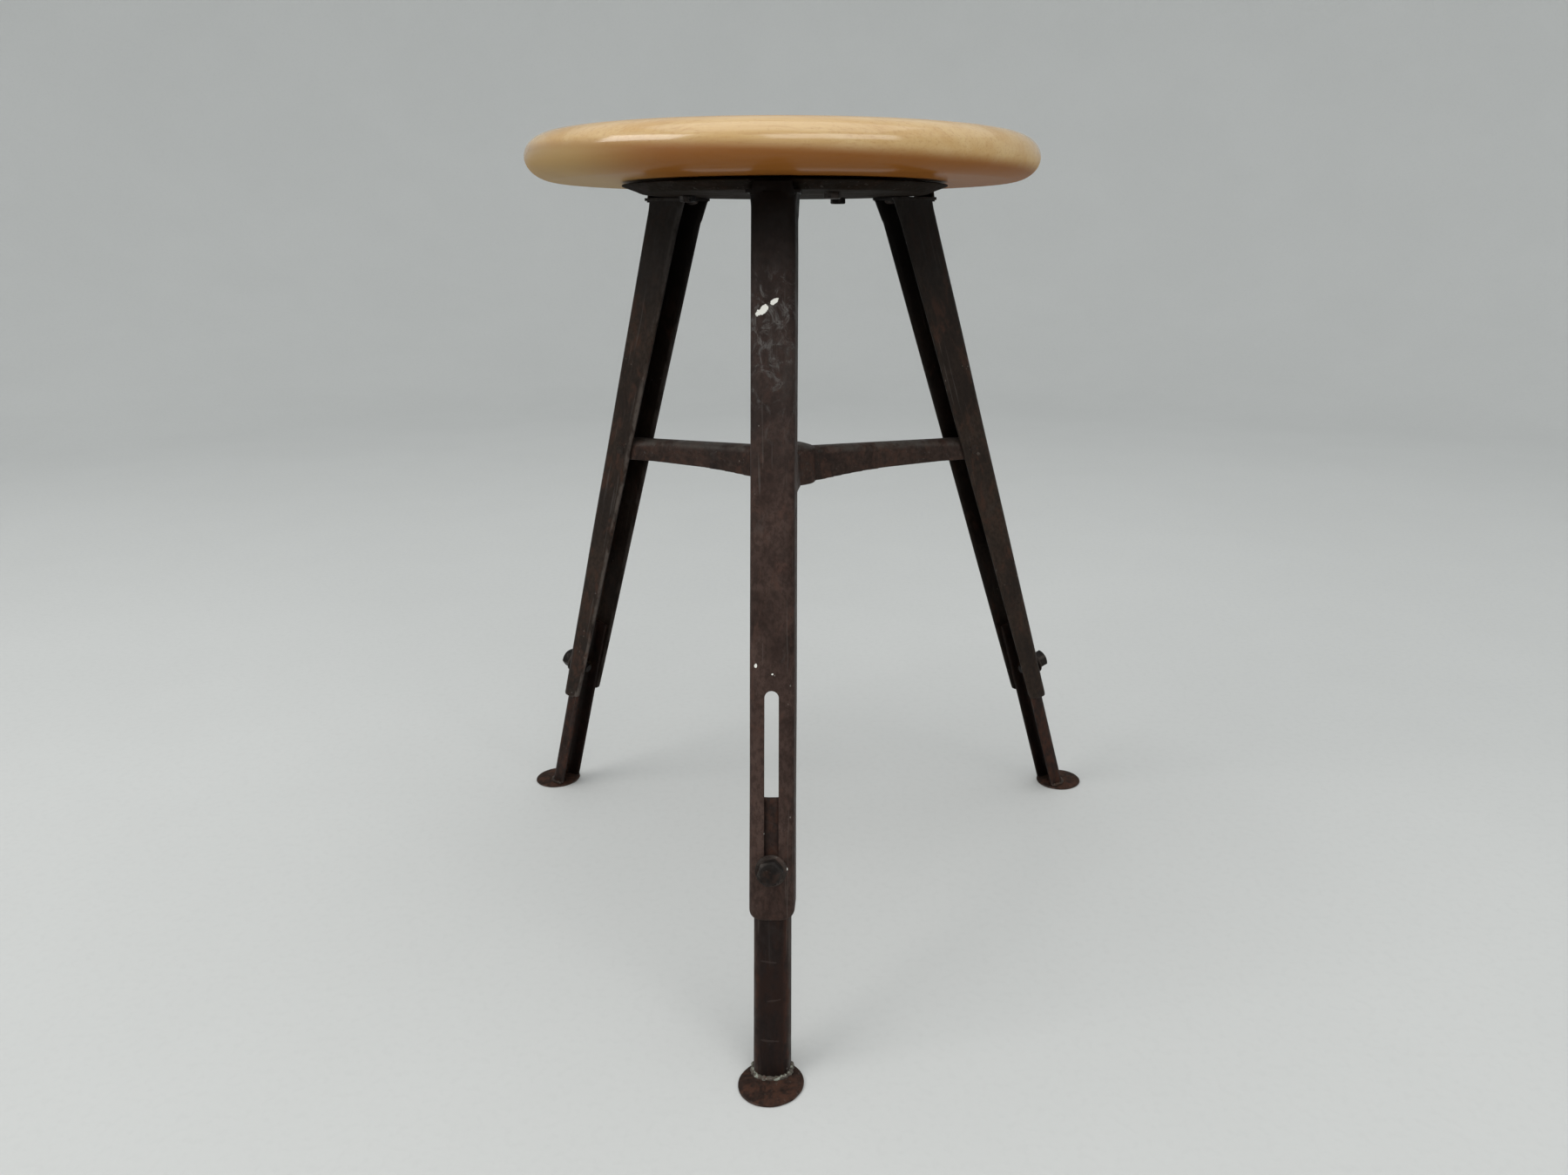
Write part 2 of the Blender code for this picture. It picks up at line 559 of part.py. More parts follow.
def arm_solid(angle, shrink):
    """One arm of the brace as a solid, or the hollow inside it when shrunk by the sheet thickness."""
    out, across = radial(angle)
    end = ARM_END_R - shrink
    reach = [0.004, 0.014, 0.024, 0.036, 0.050, 0.065, 0.080, 0.105, 0.126, 0.132, 0.138, 0.143, 0.149,
             end - ARM_TIP_LEN, end - ARM_TIP_LEN * 0.5, end - ARM_TIP_LEN * 0.2, end]
    rings = []
    for r in reach:
        tip = max(0.0, (r - (end - ARM_TIP_LEN)) / ARM_TIP_LEN)
        ease = ARM_TIP_EASE * (1.0 - sqrt(max(0.0, 1.0 - tip * tip)))
        half_w = arm_half_width(r) - shrink - ease
        top = arm_top(r) - shrink - ease
        bottom = arm_bottom(r) if shrink == 0.0 else HOLLOW_LOW_Z
        curve = web_curve(half_w, top - bottom, ARM_ROUND - shrink * 0.7, ARM_POWER, 10)
        rings.append([out * r + across * x + Vector((0.0, 0.0, top + y)) for x, y in curve])
    return loft(rings)


def hub_solid(shrink):
    """The raised round boss where the arms meet, or its hollow."""
    r, crown, top = HUB_R - shrink, HUB_CROWN_R - shrink, HUB_TOP_Z - shrink
    low = HUB_LOW_Z if shrink == 0.0 else HOLLOW_LOW_Z
    return turned([(0.0, low), (r, low), (r, top - HUB_SLOPE - 0.0008), (r - 0.0010, top - HUB_SLOPE),
                   (crown, top - 0.0003), (crown - 0.0020, top), (0.0, top)], 44)


def brace():
    spider = make("leg_brace", hub_solid(0.0), BROWN)
    hollow = make("hollow", hub_solid(ARM_T))
    for angle in LEG_ANGLES.values():
        boolean(spider, arm_solid(angle, 0.0), "UNION")
        boolean(hollow, arm_solid(angle, ARM_T), "UNION")
    core = bmesh.new()
    core.from_mesh(hollow.data)
    bpy.data.objects.remove(hollow, do_unlink=True)
    boolean(spider, core, "DIFFERENCE")
    across = Matrix.Translation((ARM_RIVET_R, 0.0, ARM_RIVET_Z)) @ Matrix.Rotation(pi / 2, 4, "X")
    for angle in LEG_ANGLES.values():
        boolean(spider, rod(ARM_RIVET_SHANK + GAP, -2 * HUB_R, 2 * HUB_R, 20), "DIFFERENCE",
                Matrix.Rotation(radians(angle), 4, "Z") @ across)
    weld_up(spider)
    shade_round(spider)


def brace_rivet(side, angle):
    out, _ = radial(angle)
    rivet = make("brace_rivet_" + side, turned(sunk_profile(rivet_half(), 0.0, GAP), 20), BOLT)
    rivet.location = out * ARM_RIVET_R + Vector((0.0, 0.0, ARM_RIVET_Z))
    rivet.rotation_euler = (pi / 2, 0.0, radians(angle))
    shade_round(rivet)


# ---------------------------------------------------------------- assemble
seat_board()
swivel_plate()
seat_screws()
seat_pan()
bearing_ring()
ring_bolts()
pivot()
brace()
for leg_side, leg_angle in LEG_ANGLES.items():
    upper_leg(leg_side, leg_angle)
    leg_rivets(leg_side, leg_angle)
    brace_rivet(leg_side, leg_angle)
    lower_leg(leg_side, leg_angle)
    foot_pad(leg_side, leg_angle)
    clamp(leg_side, leg_angle)
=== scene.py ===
"""Finished look of the swivel stool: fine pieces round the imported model, studio floor and camera."""
import json
from math import cos, pi, radians, sin, sqrt, tan

import bmesh
import bpy
from mathutils import Matrix, Vector, noise


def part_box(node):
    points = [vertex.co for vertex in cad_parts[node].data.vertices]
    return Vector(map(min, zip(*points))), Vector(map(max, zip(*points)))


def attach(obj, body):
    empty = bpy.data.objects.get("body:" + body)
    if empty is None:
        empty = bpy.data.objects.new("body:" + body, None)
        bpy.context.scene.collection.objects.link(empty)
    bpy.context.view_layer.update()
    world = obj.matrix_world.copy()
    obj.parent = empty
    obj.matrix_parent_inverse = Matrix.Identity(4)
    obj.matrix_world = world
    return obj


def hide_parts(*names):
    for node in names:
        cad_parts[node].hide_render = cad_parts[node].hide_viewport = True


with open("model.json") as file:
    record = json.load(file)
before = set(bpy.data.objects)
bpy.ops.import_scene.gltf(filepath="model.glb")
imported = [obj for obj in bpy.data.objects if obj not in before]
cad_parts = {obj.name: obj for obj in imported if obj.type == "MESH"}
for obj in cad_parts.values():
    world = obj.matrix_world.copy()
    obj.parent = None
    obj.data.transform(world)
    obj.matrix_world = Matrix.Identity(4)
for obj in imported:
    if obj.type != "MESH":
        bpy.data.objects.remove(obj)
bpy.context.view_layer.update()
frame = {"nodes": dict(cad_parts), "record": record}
JOINTS = {j["name"]: j for j in frame["record"]["behaviour"]["joints"]}
SIDES = {"front": -90.0, "right": 30.0, "left": 150.0}

# ---------------------------------------------------------------- dimensions (metres)
# wooden seat, with the recess for the pivot's head and the pilot holes of the screws
SEAT_LO, SEAT_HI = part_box("seat_board")
SEAT_R, SEAT_Z, SEAT_TOP = SEAT_HI[0], SEAT_LO[2], SEAT_HI[2]
SEAT_NOSE, SEAT_FLAT_R = 0.0195, 0.125
RECESS_R, RECESS_DEPTH = 0.0130, 0.0085
SCREW_AT, SCREW_ANGLES, PILOT_R, PILOT_DEPTH = 0.055, (45.0, 135.0, 225.0, 315.0), 0.0024, 0.0165
# pan under the seat
PAN_LO, PAN_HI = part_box("seat_pan")
PAN_R, PAN_Z, PAN_TOP = PAN_HI[0], PAN_LO[2], PAN_HI[2]
PAN_FLOOR_R, PAN_T, PIVOT_HOLE_R = 0.0995, 0.0015, 0.0046
# shared: clearance between solids, how far a cutter reaches past what it cuts, lean of the legs
GAP, CUT = 0.0003, 0.005
SPLAY = radians(17.2)
# upper legs: width, depth and outer rounding at top and bottom, cut end, flare under the pan, slot
UPPER_W_TOP, UPPER_W_LOW, UPPER_T = 0.0272, 0.0276, 0.0020
UPPER_D_TOP, UPPER_D_LOW = 0.0322, 0.0190
UPPER_ROUND_TOP, UPPER_ROUND_LOW = 0.0060, 0.0072
UPPER_END_Z, END_LIFT, END_ROUND_D = 0.0955, 0.0032, 0.0100
FLARE_W, FLARE_D, FLARE_LEN = 0.0017, 0.0040, 0.010
END_RIM = ((0.0, 0.0009), (0.0004, 0.0005), (0.0012, 0.0002), (0.0026, 0.0))
FLARE_STEPS = (0.0105, 0.0092, 0.0079, 0.0065)
WAVY_FROM, WAVY_TO, WAVY_STEPS, WAVE, WAVE_IN, WAVE_OUT = 0.014, 0.013, 70, 0.00022, 0.05, 0.03
UPPER_EDGE, LIP_ROUND = 0.00042, 0.006
SLOT_W, SLOT_TOP, SLOT_LOW, SLOT_CUT = 0.0088, 0.1078, -0.0064, (-0.012, 0.010)
# flange riveted under the pan and lug in front of its wall; LAPs are how far welded shapes overlap
CREST_TOP_R = 0.1151
FLANGE_LAP, SOCKET_LAP, LUG_LAP = 0.0006, 0.0008, 0.0010
FLANGE_T, FLANGE_IN_R, FLANGE_HALF_W, FLANGE_TAPER = 0.0020, 0.0790, 0.0165, 0.94
LUG_T, LUG_HALF_W, LUG_TOP_Z, LUG_TAPER = 0.0022, 0.0135, 0.5216, 0.86
# lower legs, the top of the foot discs and the weld beads between them
LOWER_W, LOWER_D, LOWER_ROUND, LOWER_T, LOWER_TOP = 0.0224, 0.0145, 0.0080, 0.0022, 0.0432
LOWER_BACK, LOWER_FOOT, LOWER_EDGE = -(UPPER_T + GAP), 0.010, 0.00035
PAD_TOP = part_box("foot_pad_front")[1][2]
WELD_R, WELD_OUT, WELD_SINK, WELD_SIDES = 0.00165, 0.0002, 0.0004, 10
# powers of the rounded corners: 2 is a quarter circle, more is squarer
UPPER_POWER, LOWER_POWER, ARM_POWER = 2.5, 2.3, 2.4
# clamp bolts, washers and nuts
BOLT_R, HEAD_AF, HEAD_T, BOLT_SPARE = 0.0040, 0.0140, 0.0084, 0.0022
WASHER_R, WASHER_T, WASHER_EASE = 0.0096, 0.0018, 0.0004
NUT_AF, NUT_T, NUT_FROM = 0.0130, 0.0060, 0.0064
THREAD_PITCH, THREAD_DEPTH = 0.00125, 0.00045
HEX_SIDE_STEPS, HEX_ROLL, HEX_TUCK, HEX_CONE = 8, 0.00025, 0.985, radians(30)
CLAMP_TURN = {"front": 12.0, "right": 25.0, "left": -8.0}
# brace: arms, their rivets, the boss in the middle and the hollow under it all
ARM_END_R, ARM_ROUND, ARM_T = 0.1640, 0.0070, 0.0016
ARM_HALF_W, ARM_END_HALF_W, ARM_WIDEN_R, ARM_WIDE_R = 0.0080, 0.0114, 0.126, 0.149
ARM_TOP_Z, ARM_FALL, ARM_STRAIGHT_R = 0.3402, 0.0052, 0.130
ARM_LOW_Z, ARM_DROP, ARM_DROP_R = 0.3181, 0.0066, 0.085
ARM_TIP_LEN, ARM_TIP_EASE = 0.0080, 0.0035
ARM_RIVET_R, ARM_RIVET_Z, ARM_RIVET_SHANK = 0.1565, 0.3260, 0.0026
ARM_RIVET_SINK_R, ARM_RIVET_SINK, RIVET_EASE, RIVET_PROUD = 0.0038, 0.0012, 0.00015, 0.0002
HUB_R, HUB_TOP_Z, HUB_LOW_Z = 0.0178, 0.3428, 0.3138
HUB_CROWN_R, HUB_SLOPE = 0.0100, 0.0026
HOLLOW_LOW_Z = 0.290
BRACE_VOXEL, BRACE_EASE, BRACE_KEEP = 0.00065, 5, 0.30
# height of the clamp bolts
BOLT_Z = JOINTS["front_clamp_turn"]["pos_m"][2]


# ---------------------------------------------------------------- node graphs
class Graph:
    """One material's node tree, with a short call for each kind of node that it uses."""

    def __init__(self, name):
        self.mat = bpy.data.materials.new(name)
        self.mat.use_nodes = True
        self.tree = self.mat.node_tree
        self.bsdf = self.tree.nodes["Principled BSDF"]
        self.place = self.node("ShaderNodeTexCoord").outputs["Object"]

    def node(self, kind, **settings):
        made = self.tree.nodes.new(kind)
        for key, value in settings.items():
            setattr(made, key, value)
        return made

    def link(self, source, socket):
        if hasattr(source, "is_output"):
            self.tree.links.new(source, socket)
        else:
            socket.default_value = source

    def stretch(self, scale, offset=(0.0, 0.0, 0.0)):
        made = self.node("ShaderNodeMapping")
        made.inputs["Scale"].default_value = scale
        made.inputs["Location"].default_value = offset
        self.link(self.place, made.inputs["Vector"])
        return made.outputs["Vector"]

    def noise(self, scale, detail=4.0, rough=0.55, where=None, distort=0.0):
        made = self.node("ShaderNodeTexNoise")
        self.link(where or self.place, made.inputs["Vector"])
        made.inputs["Scale"].default_value = scale
        made.inputs["Detail"].default_value = detail
        made.inputs["Roughness"].default_value = rough
        made.inputs["Distortion"].default_value = distort
        return made.outputs["Fac"]

    def cells(self, scale, where):
        made = self.node("ShaderNodeTexVoronoi")
        self.link(where, made.inputs["Vector"])
        made.inputs["Scale"].default_value = scale
        return made.outputs["Distance"]

    def band(self, source, low, high, start=0.0, end=1.0):
        """Rescales source from low..high to start..end, held at the ends."""
        made = self.node("ShaderNodeMapRange", clamp=True, interpolation_type="SMOOTHSTEP")
        self.link(source, made.inputs["Value"])
        made.inputs["From Min"].default_value = low
        made.inputs["From Max"].default_value = high
        made.inputs["To Min"].default_value = start
        made.inputs["To Max"].default_value = end
        return made.outputs["Result"]

    def math(self, operation, a, b=0.0):
        made = self.node("ShaderNodeMath", operation=operation)
        self.link(a, made.inputs[0])
        self.link(b, made.inputs[1])
        return made.outputs["Value"]

    def times(self, a, b):
        return self.math("MULTIPLY", a, b)

    def plus(self, a, b):
        return self.math("ADD", a, b)

    def minus(self, a, b):
        return self.math("SUBTRACT", a, b)

    def blend(self, factor, a, b):
        made = self.node("ShaderNodeMix", data_type="RGBA")
        self.link(factor, made.inputs["Factor"])
        colours = [s for s in made.inputs if s.type == "RGBA"]
        for value, socket in zip((a, b), colours):
            self.link((*value, 1.0) if isinstance(value, tuple) else value, socket)
        return [s for s in made.outputs if s.type == "RGBA"][0]

    def over(self, colour, mask, strength, paint):
        """colour with paint laid over it where mask is 1, as strongly as strength."""
        return self.blend(self.times(mask, strength), colour, paint)

    def bump(self, height, strength, distance, under=None):
        made = self.node("ShaderNodeBump")
        made.inputs["Strength"].default_value = strength
        made.inputs["Distance"].default_value = distance
        self.link(height, made.inputs["Height"])
        if under:
            self.link(under, made.inputs["Normal"])
        return made.outputs["Normal"]

    def along(self, axis, source=None):
        made = self.node("ShaderNodeSeparateXYZ")
        self.link(source or self.place, made.inputs["Vector"])
        return made.outputs[axis]

    def corners(self):
        """1 on worn outer edges, 0 on flat faces, from the mesh's own curvature."""
        point = self.node("ShaderNodeNewGeometry").outputs["Pointiness"]
        return self.band(point, 0.515, 0.58)


# linear colours of what lies on the steel or shows through it
DUST, SCRATCHED = (0.070, 0.064, 0.059), (0.10, 0.088, 0.080)
WORN, SPECKED = (0.120, 0.100, 0.088), (0.24, 0.22, 0.20)
BARE_METAL = 0.12


def steel(name, dark, mid, rust, rust_amount, rough=(0.46, 0.72), grey=0.35, seed=0.0, grain=0.55,
          extras=None, shine=0.16, wear=0.50):
    """Patinated mild steel: mottled oxide, soft rust blooms, dust, scratches, rubbed edges and a pitted
    skin. grain below 1 draws the mottling out along Z, and extras(graph, colour) adds its own marks."""
    g = Graph(name)
    here = g.stretch((1.0, 1.0, grain), (seed, seed * 0.7, seed * 1.3))
    cloud = g.noise(26.0, 6.0, 0.62, here, 0.6)
    fine = g.noise(210.0, 5.0, 0.6, here)
    colour = g.blend(g.band(cloud, 0.36, 0.66), dark, mid)
    pepper = g.band(g.noise(360.0, 4.0, 0.65, g.stretch((1.0, 1.0, 0.7), (seed, 2.0, 6.0))), 0.42, 0.60)
    colour = g.over(colour, pepper, 0.45, tuple(0.4 * c for c in dark))
    bloom = g.noise(55.0, 8.0, 0.68, g.stretch((1.0, 1.0, grain * 0.8), (seed + 3.1, 0.4, 1.9)), 1.2)
    edge_low = 0.60 - 0.22 * rust_amount
    rusty = g.times(g.band(bloom, edge_low, edge_low + 0.13), g.band(fine, 0.35, 0.6))
    colour = g.over(colour, rusty, 0.85, rust)
    dusty = g.noise(34.0, 7.0, 0.7, g.stretch((1.0, 1.0, 0.8), (seed - 2.0, 5.2, 0.3)), 0.8)
    colour = g.over(colour, g.band(dusty, 0.58, 0.72), grey, DUST)
    long_way = (5.0, 5.0, 0.16) if grain < 1.0 else (4.0, 4.0, 4.0)
    scratch = g.noise(90.0, 3.0, 0.5, g.stretch(long_way, (seed, 1.0, 2.0)), 0.2)
    colour = g.over(colour, g.band(scratch, 0.645, 0.69), 0.30, SCRATCHED)
    worn = g.times(g.corners(), g.band(g.noise(75.0, 4.0, 0.6, here), 0.40, 0.58))
    colour = g.over(colour, worn, wear, WORN)
    specks = g.math("LESS_THAN", g.cells(165.0, g.stretch((1.0, 1.0, 0.9), (seed, 0.0, 0.0))), 0.085)
    specks = g.times(specks, g.band(g.noise(19.0, 2.0, 0.5, here), 0.56, 0.62))
    colour = g.over(colour, specks, 0.45, SPECKED)
    if extras:
        colour = extras(g, colour)
    g.link(colour, g.bsdf.inputs["Base Color"])
    mix = g.plus(g.times(cloud, 0.6), g.times(fine, 0.4))
    sheen = g.minus(g.band(mix, 0.36, 0.64, rough[0], rough[1]), g.times(worn, 0.14))
    g.link(sheen, g.bsdf.inputs["Roughness"])
    g.bsdf.inputs["Metallic"].default_value = BARE_METAL
    g.bsdf.inputs["Specular IOR Level"].default_value = shine
    pits = g.noise(620.0, 4.0, 0.6, here)
    height = g.plus(g.times(fine, 0.6), g.times(pits, 0.4))
    height = g.plus(height, g.times(rusty, 0.5))
    g.link(g.bump(cloud, 0.25, 0.0012, g.bump(height, 0.38, 0.0004)), g.bsdf.inputs["Normal"])
    return g.mat


WOOD_PALE, WOOD_MID, WOOD_WARM = (0.590, 0.410, 0.200), (0.520, 0.325, 0.130), (0.500, 0.290, 0.100)
WOOD_LINE, WOOD_GRIME = (0.360, 0.190, 0.065), (0.270, 0.180, 0.090)
# the amber is painted shade low on the rim, and the olive-tan painted light on the rim's left end
WOOD_AMBER_SHADE, WOOD_OLIVE_LIGHT = (0.235, 0.074, 0.008), (0.400, 0.265, 0.105)
# heights over which the rim turns dark amber, a painted shade, and over which its lacquer grows glossy
AMBER_SHADE_Z = (SEAT_Z + 0.0172, SEAT_Z + 0.0092)
LACQUER_Z = (SEAT_Z + 0.0080, SEAT_Z + 0.0185)
COAT_ROUGH, COAT_IOR = 0.15, 1.65


def lacquered_wood(name):
    """Fine hardwood under clear lacquer: painted shade turns it dark amber low on the rim, painted light
    keeps its left end paler, and the lacquer is also duller low down.
    """
    g = Graph(name)
    x, z = g.along("X"), g.along("Z")
    bow = g.noise(5.0, 3.0, 0.5, g.stretch((0.35, 1.0, 1.0)))
    rings = g.noise(5.0, 4.0, 0.55, g.stretch((0.5, 9.0, 9.0)), 0.5)
    fibre = g.noise(34.0, 5.0, 0.62, g.stretch((1.0, 22.0, 22.0)))
    fleck = g.cells(95.0, g.stretch((1.2, 9.0, 9.0)))
    speckle = g.noise(420.0, 3.0, 0.6)
    colour = g.blend(g.band(rings, 0.36, 0.66), WOOD_PALE, WOOD_MID)
    colour = g.over(colour, g.band(bow, 0.42, 0.66), 0.30, WOOD_WARM)
    colour = g.over(colour, g.band(fibre, 0.48, 0.70), 0.34, WOOD_LINE)
    colour = g.over(colour, g.band(fleck, 0.16, 0.04), 0.28, WOOD_LINE)
    colour = g.over(colour, g.band(speckle, 0.56, 0.70), 0.16, WOOD_LINE)
    # painted shade: the rim is painted dark amber towards its underside, along a line tilted with x
    low = g.band(g.plus(z, g.times(x, 0.035)), *AMBER_SHADE_Z)
    colour = g.over(colour, low, 0.92, WOOD_AMBER_SHADE)
    # painted light: the low rim's left end is painted paler olive-tan, as if lit from the left
    left = g.times(g.band(x, -0.05, -0.13), low)
    colour = g.over(colour, left, 0.85, WOOD_OLIVE_LIGHT)
    handled = g.noise(11.0, 5.0, 0.6, g.place, 0.5)
    colour = g.over(colour, g.band(handled, 0.55, 0.75), 0.12, WOOD_GRIME)
    g.link(colour, g.bsdf.inputs["Base Color"])
    g.link(g.band(g.noise(40.0, 5.0, 0.6), 0.35, 0.65, 0.32, 0.44), g.bsdf.inputs["Roughness"])
    g.bsdf.inputs["Specular IOR Level"].default_value = 0.0
    g.link(g.band(z, *LACQUER_Z, 0.25, 1.0), g.bsdf.inputs["Coat Weight"])
    g.bsdf.inputs["Coat Roughness"].default_value = COAT_ROUGH
    g.bsdf.inputs["Coat IOR"].default_value = COAT_IOR
    skin = g.plus(g.times(fibre, 0.7), g.times(fleck, 0.3))
    g.link(g.bump(handled, 0.08, 0.002, g.bump(skin, 0.10, 0.0003)), g.bsdf.inputs["Normal"])
    coat = g.bump(g.noise(120.0, 3.0, 0.5), 0.04, 0.0006)
    g.link(g.bump(handled, 0.10, 0.002, coat), g.bsdf.inputs["Coat Normal"])
    return g.mat


FLOOR_TONES, FLOOR_GRIT = ((0.588, 0.600, 0.597), (0.602, 0.614, 0.611)), (0.50, 0.51, 0.51)


def floor_paint(name):
    """Pale matt studio floor with the faintest mottling."""
    g = Graph(name)
    cloud = g.noise(3.0, 5.0, 0.6)
    grit = g.noise(160.0, 3.0, 0.5)
    colour = g.blend(g.band(cloud, 0.3, 0.7), *FLOOR_TONES)
    colour = g.over(colour, g.band(grit, 0.5, 0.7), 0.10, FLOOR_GRIT)
    g.link(colour, g.bsdf.inputs["Base Color"])
    g.link(g.band(grit, 0.3, 0.7, 0.72, 0.86), g.bsdf.inputs["Roughness"])
    g.link(g.bump(grit, 0.15, 0.001), g.bsdf.inputs["Normal"])
    return g.mat


# ---------------------------------------------------------------- mesh helpers
WELD_DIST, BEVEL_OVER = 2e-6, 38.0


def make(name, bm, look, place=None):
    """New object from a bmesh, with one material and its placing."""
    bmesh.ops.recalc_face_normals(bm, faces=bm.faces)
    mesh = bpy.data.meshes.new(name)
    bm.to_mesh(mesh)
    bm.free()
    obj = bpy.data.objects.new(name, mesh)
    bpy.context.collection.objects.link(obj)
    if look:
        mesh.materials.append(look)
    if place:
        obj.matrix_world = place
    return obj


def loft(rings):
    """Closed solid skinned through rings of equal length, capped at both ends."""
    bm = bmesh.new()
    rows = [[bm.verts.new(p) for p in ring] for ring in rings]
    count = len(rows[0])
    for low, high in zip(rows, rows[1:]):
        for i in range(count):
            j = (i + 1) % count
            bm.faces.new((low[i], low[j], high[j], high[i]))
    bm.faces.new(rows[0])
    bm.faces.new(rows[-1])
    return bm


def turned(profile, segments=96, wobble=None):
    """Solid of revolution about Z; wobble(angle, r, z) may move each point in r and z."""
    bm = bmesh.new()
    rows = []
    for r, z in profile:
        if r == 0.0:
            rows.append([bm.verts.new((0.0, 0.0, z))])
            continue
        row = []
        for k in range(segments):
            a = 2 * pi * k / segments
            dr, dz = wobble(a, r, z) if wobble else (0.0, 0.0)
            row.append(bm.verts.new(((r + dr) * cos(a), (r + dr) * sin(a), z + dz)))
        rows.append(row)
    for low, high in zip(rows, rows[1:] + rows[:1]):
        if len(low) == 1 and len(high) == 1:
            continue
        for k in range(segments):
            n = (k + 1) % segments
            ring = [low[0]] if len(low) == 1 else [low[k], low[n]]
            ring += [high[0]] if len(high) == 1 else [high[n], high[k]]
            bm.faces.new(ring)
    return bm


def boxed(x0, x1, y0, y1, z0, z1):
    """Block between two corners."""
    return loft([[(x0, y0, z), (x1, y0, z), (x1, y1, z), (x0, y1, z)] for z in (z0, z1)])


def rod(r, z0, z1, segments=32):
    """Cylinder on Z, used as a cutter."""
    return turned([(0.0, z0), (r, z0), (r, z1), (0.0, z1)], segments)


def bake(obj):
    """Writes the result of the object's modifiers into its mesh."""
    bpy.context.view_layer.update()
    graph = bpy.context.evaluated_depsgraph_get()
    result = bpy.data.meshes.new_from_object(obj.evaluated_get(graph))
    obj.modifiers.clear()
    obj.data = result


def boolean(target, cutter_bm, operation, place=None):
    """Joins a closed bmesh to the target or cuts it away."""
    cutter = make("cutter", cutter_bm, None, place or Matrix.Identity(4))
    mod = target.modifiers.new("op", "BOOLEAN")
    mod.operation = operation
    mod.solver = "EXACT"
    mod.object = cutter
    bake(target)
    bpy.data.objects.remove(cutter, do_unlink=True)


def soften(obj, width):
    """Rounds the sharp edges of a piece and shades it smooth."""
    bm = bmesh.new()
    bm.from_mesh(obj.data)
    bmesh.ops.remove_doubles(bm, verts=bm.verts, dist=WELD_DIST)
    bm.to_mesh(obj.data)
    bm.free()
    mod = obj.modifiers.new("edges", "BEVEL")
    mod.width = width
    mod.segments = 2
    mod.limit_method = "ANGLE"
    mod.angle_limit = radians(BEVEL_OVER)
    mod.use_clamp_overlap = True
    bake(obj)
    shade(obj)


def shade(obj, limit=42.0):
    """Smooth faces, with edges left sharp where the surface turns by more than limit degrees."""
    bm = bmesh.new()
    bm.from_mesh(obj.data)
    for face in bm.faces:
        face.smooth = True
    for edge in bm.edges:
        if len(edge.link_faces) == 2:
            edge.smooth = edge.calc_face_angle(0.0) < radians(limit)
    bm.to_mesh(obj.data)
    bm.free()


def radial(angle):
    """Unit vectors out from the axis and across, at an angle in degrees."""
    a = radians(angle)
    return Vector((cos(a), sin(a), 0.0)), Vector((-sin(a), cos(a), 0.0))


def leg_matrix(side):
    """Local X across the leg, Y straight out of its web, Z up along it; zero at the clamp bolt."""
    out = Vector(JOINTS[side + "_clamp_turn"]["axis"]).normalized()
    up = Vector(JOINTS[side + "_leg_slide"]["axis"]).normalized()
    across = out.cross(up)
    place = Matrix((across, out, up)).transposed().to_4x4()
    place.translation = Vector(JOINTS[side + "_clamp_turn"]["pos_m"])
    return place


def level(y, z):
    """Distance along the leg at which a point y out from the web crest reaches height z."""
    return (z - BOLT_Z - y * sin(SPLAY)) / cos(SPLAY)


# ---------------------------------------------------------------- channels
def web_curve(half_w, depth, rounding, power, steps, flank):
    """U outline from lip to lip, with evenly spaced points down each flank."""
    arc = []
    for k in range(steps + 1):
        a = pi * k / steps
        c, s = cos(a), sin(a)
        x = -half_w * (1 if c >= 0 else -1) * abs(c) ** (2 / power)
        arc.append((x, -rounding + rounding * abs(s) ** (2 / power)))
    side = [-depth + (depth - rounding) * k / flank for k in range(flank)]
    return [(-half_w, y) for y in side] + arc + [(half_w, y) for y in side[::-1]]


def channel(half_w, depth, rounding, wall, power=UPPER_POWER, steps=44, flank=5):
    """Closed outline of the channel's sheet, with rounded lips."""
    outer = web_curve(half_w, depth, rounding, power, steps, flank)
    inner = web_curve(half_w - wall, depth - wall, max(rounding - wall, 0.001), power, steps, flank)
    inner = [(x, y - wall) for x, y in inner]
    r = wall / 2
    lip = [(half_w - r + r * cos(a), -depth + r * sin(a) * 0.6) for a in (-pi / 4, -pi / 2, -3 * pi / 4)]
    return outer + lip + inner[::-1] + [(-x, y) for x, y in lip[::-1]]


def upper_section(s):
    """Half width, depth and rounding of the upper leg at distance s above the bolt."""
    top, low = level(0.0, PAN_Z), level(0.0, UPPER_END_Z)
    k = (s - low) / (top - low)
    f = max(0.0, 1.0 - (top - s) / FLARE_LEN) ** 2
    half_w = (UPPER_W_LOW + (UPPER_W_TOP - UPPER_W_LOW) * k) / 2 + FLARE_W * f
    depth = UPPER_D_LOW + (UPPER_D_TOP - UPPER_D_LOW) * k + FLARE_D * f
    rounding = UPPER_ROUND_LOW + (UPPER_ROUND_TOP - UPPER_ROUND_LOW) * k
    return half_w, depth, rounding


def dented(x, y, s, seed, amount):
    """Moves a point of the sheet by the slight waviness that pressing leaves: the web in and out, and the
    flanks both ways."""
    p = Vector((x * 9 + seed, y * 9, s * 11))
    side_on = (1 if x > 0 else -1) * min(1.0, abs(x) * 120)
    return x + noise.noise(p) * amount * side_on, y + noise.noise(p + Vector((7, 3, 1))) * amount


def stadium(r, z0, z1, y0, y1, steps=18):
    """Round-ended slot cutter that runs along local Z and goes through local Y."""
    outline = [(r * cos(pi * k / steps), z1 - r + r * sin(pi * k / steps)) for k in range(steps + 1)]
    outline += [(-r * cos(pi * k / steps), z0 + r - r * sin(pi * k / steps)) for k in range(steps + 1)]
    return loft([[(x, y, z) for x, z in outline] for y in (y0, y1)])


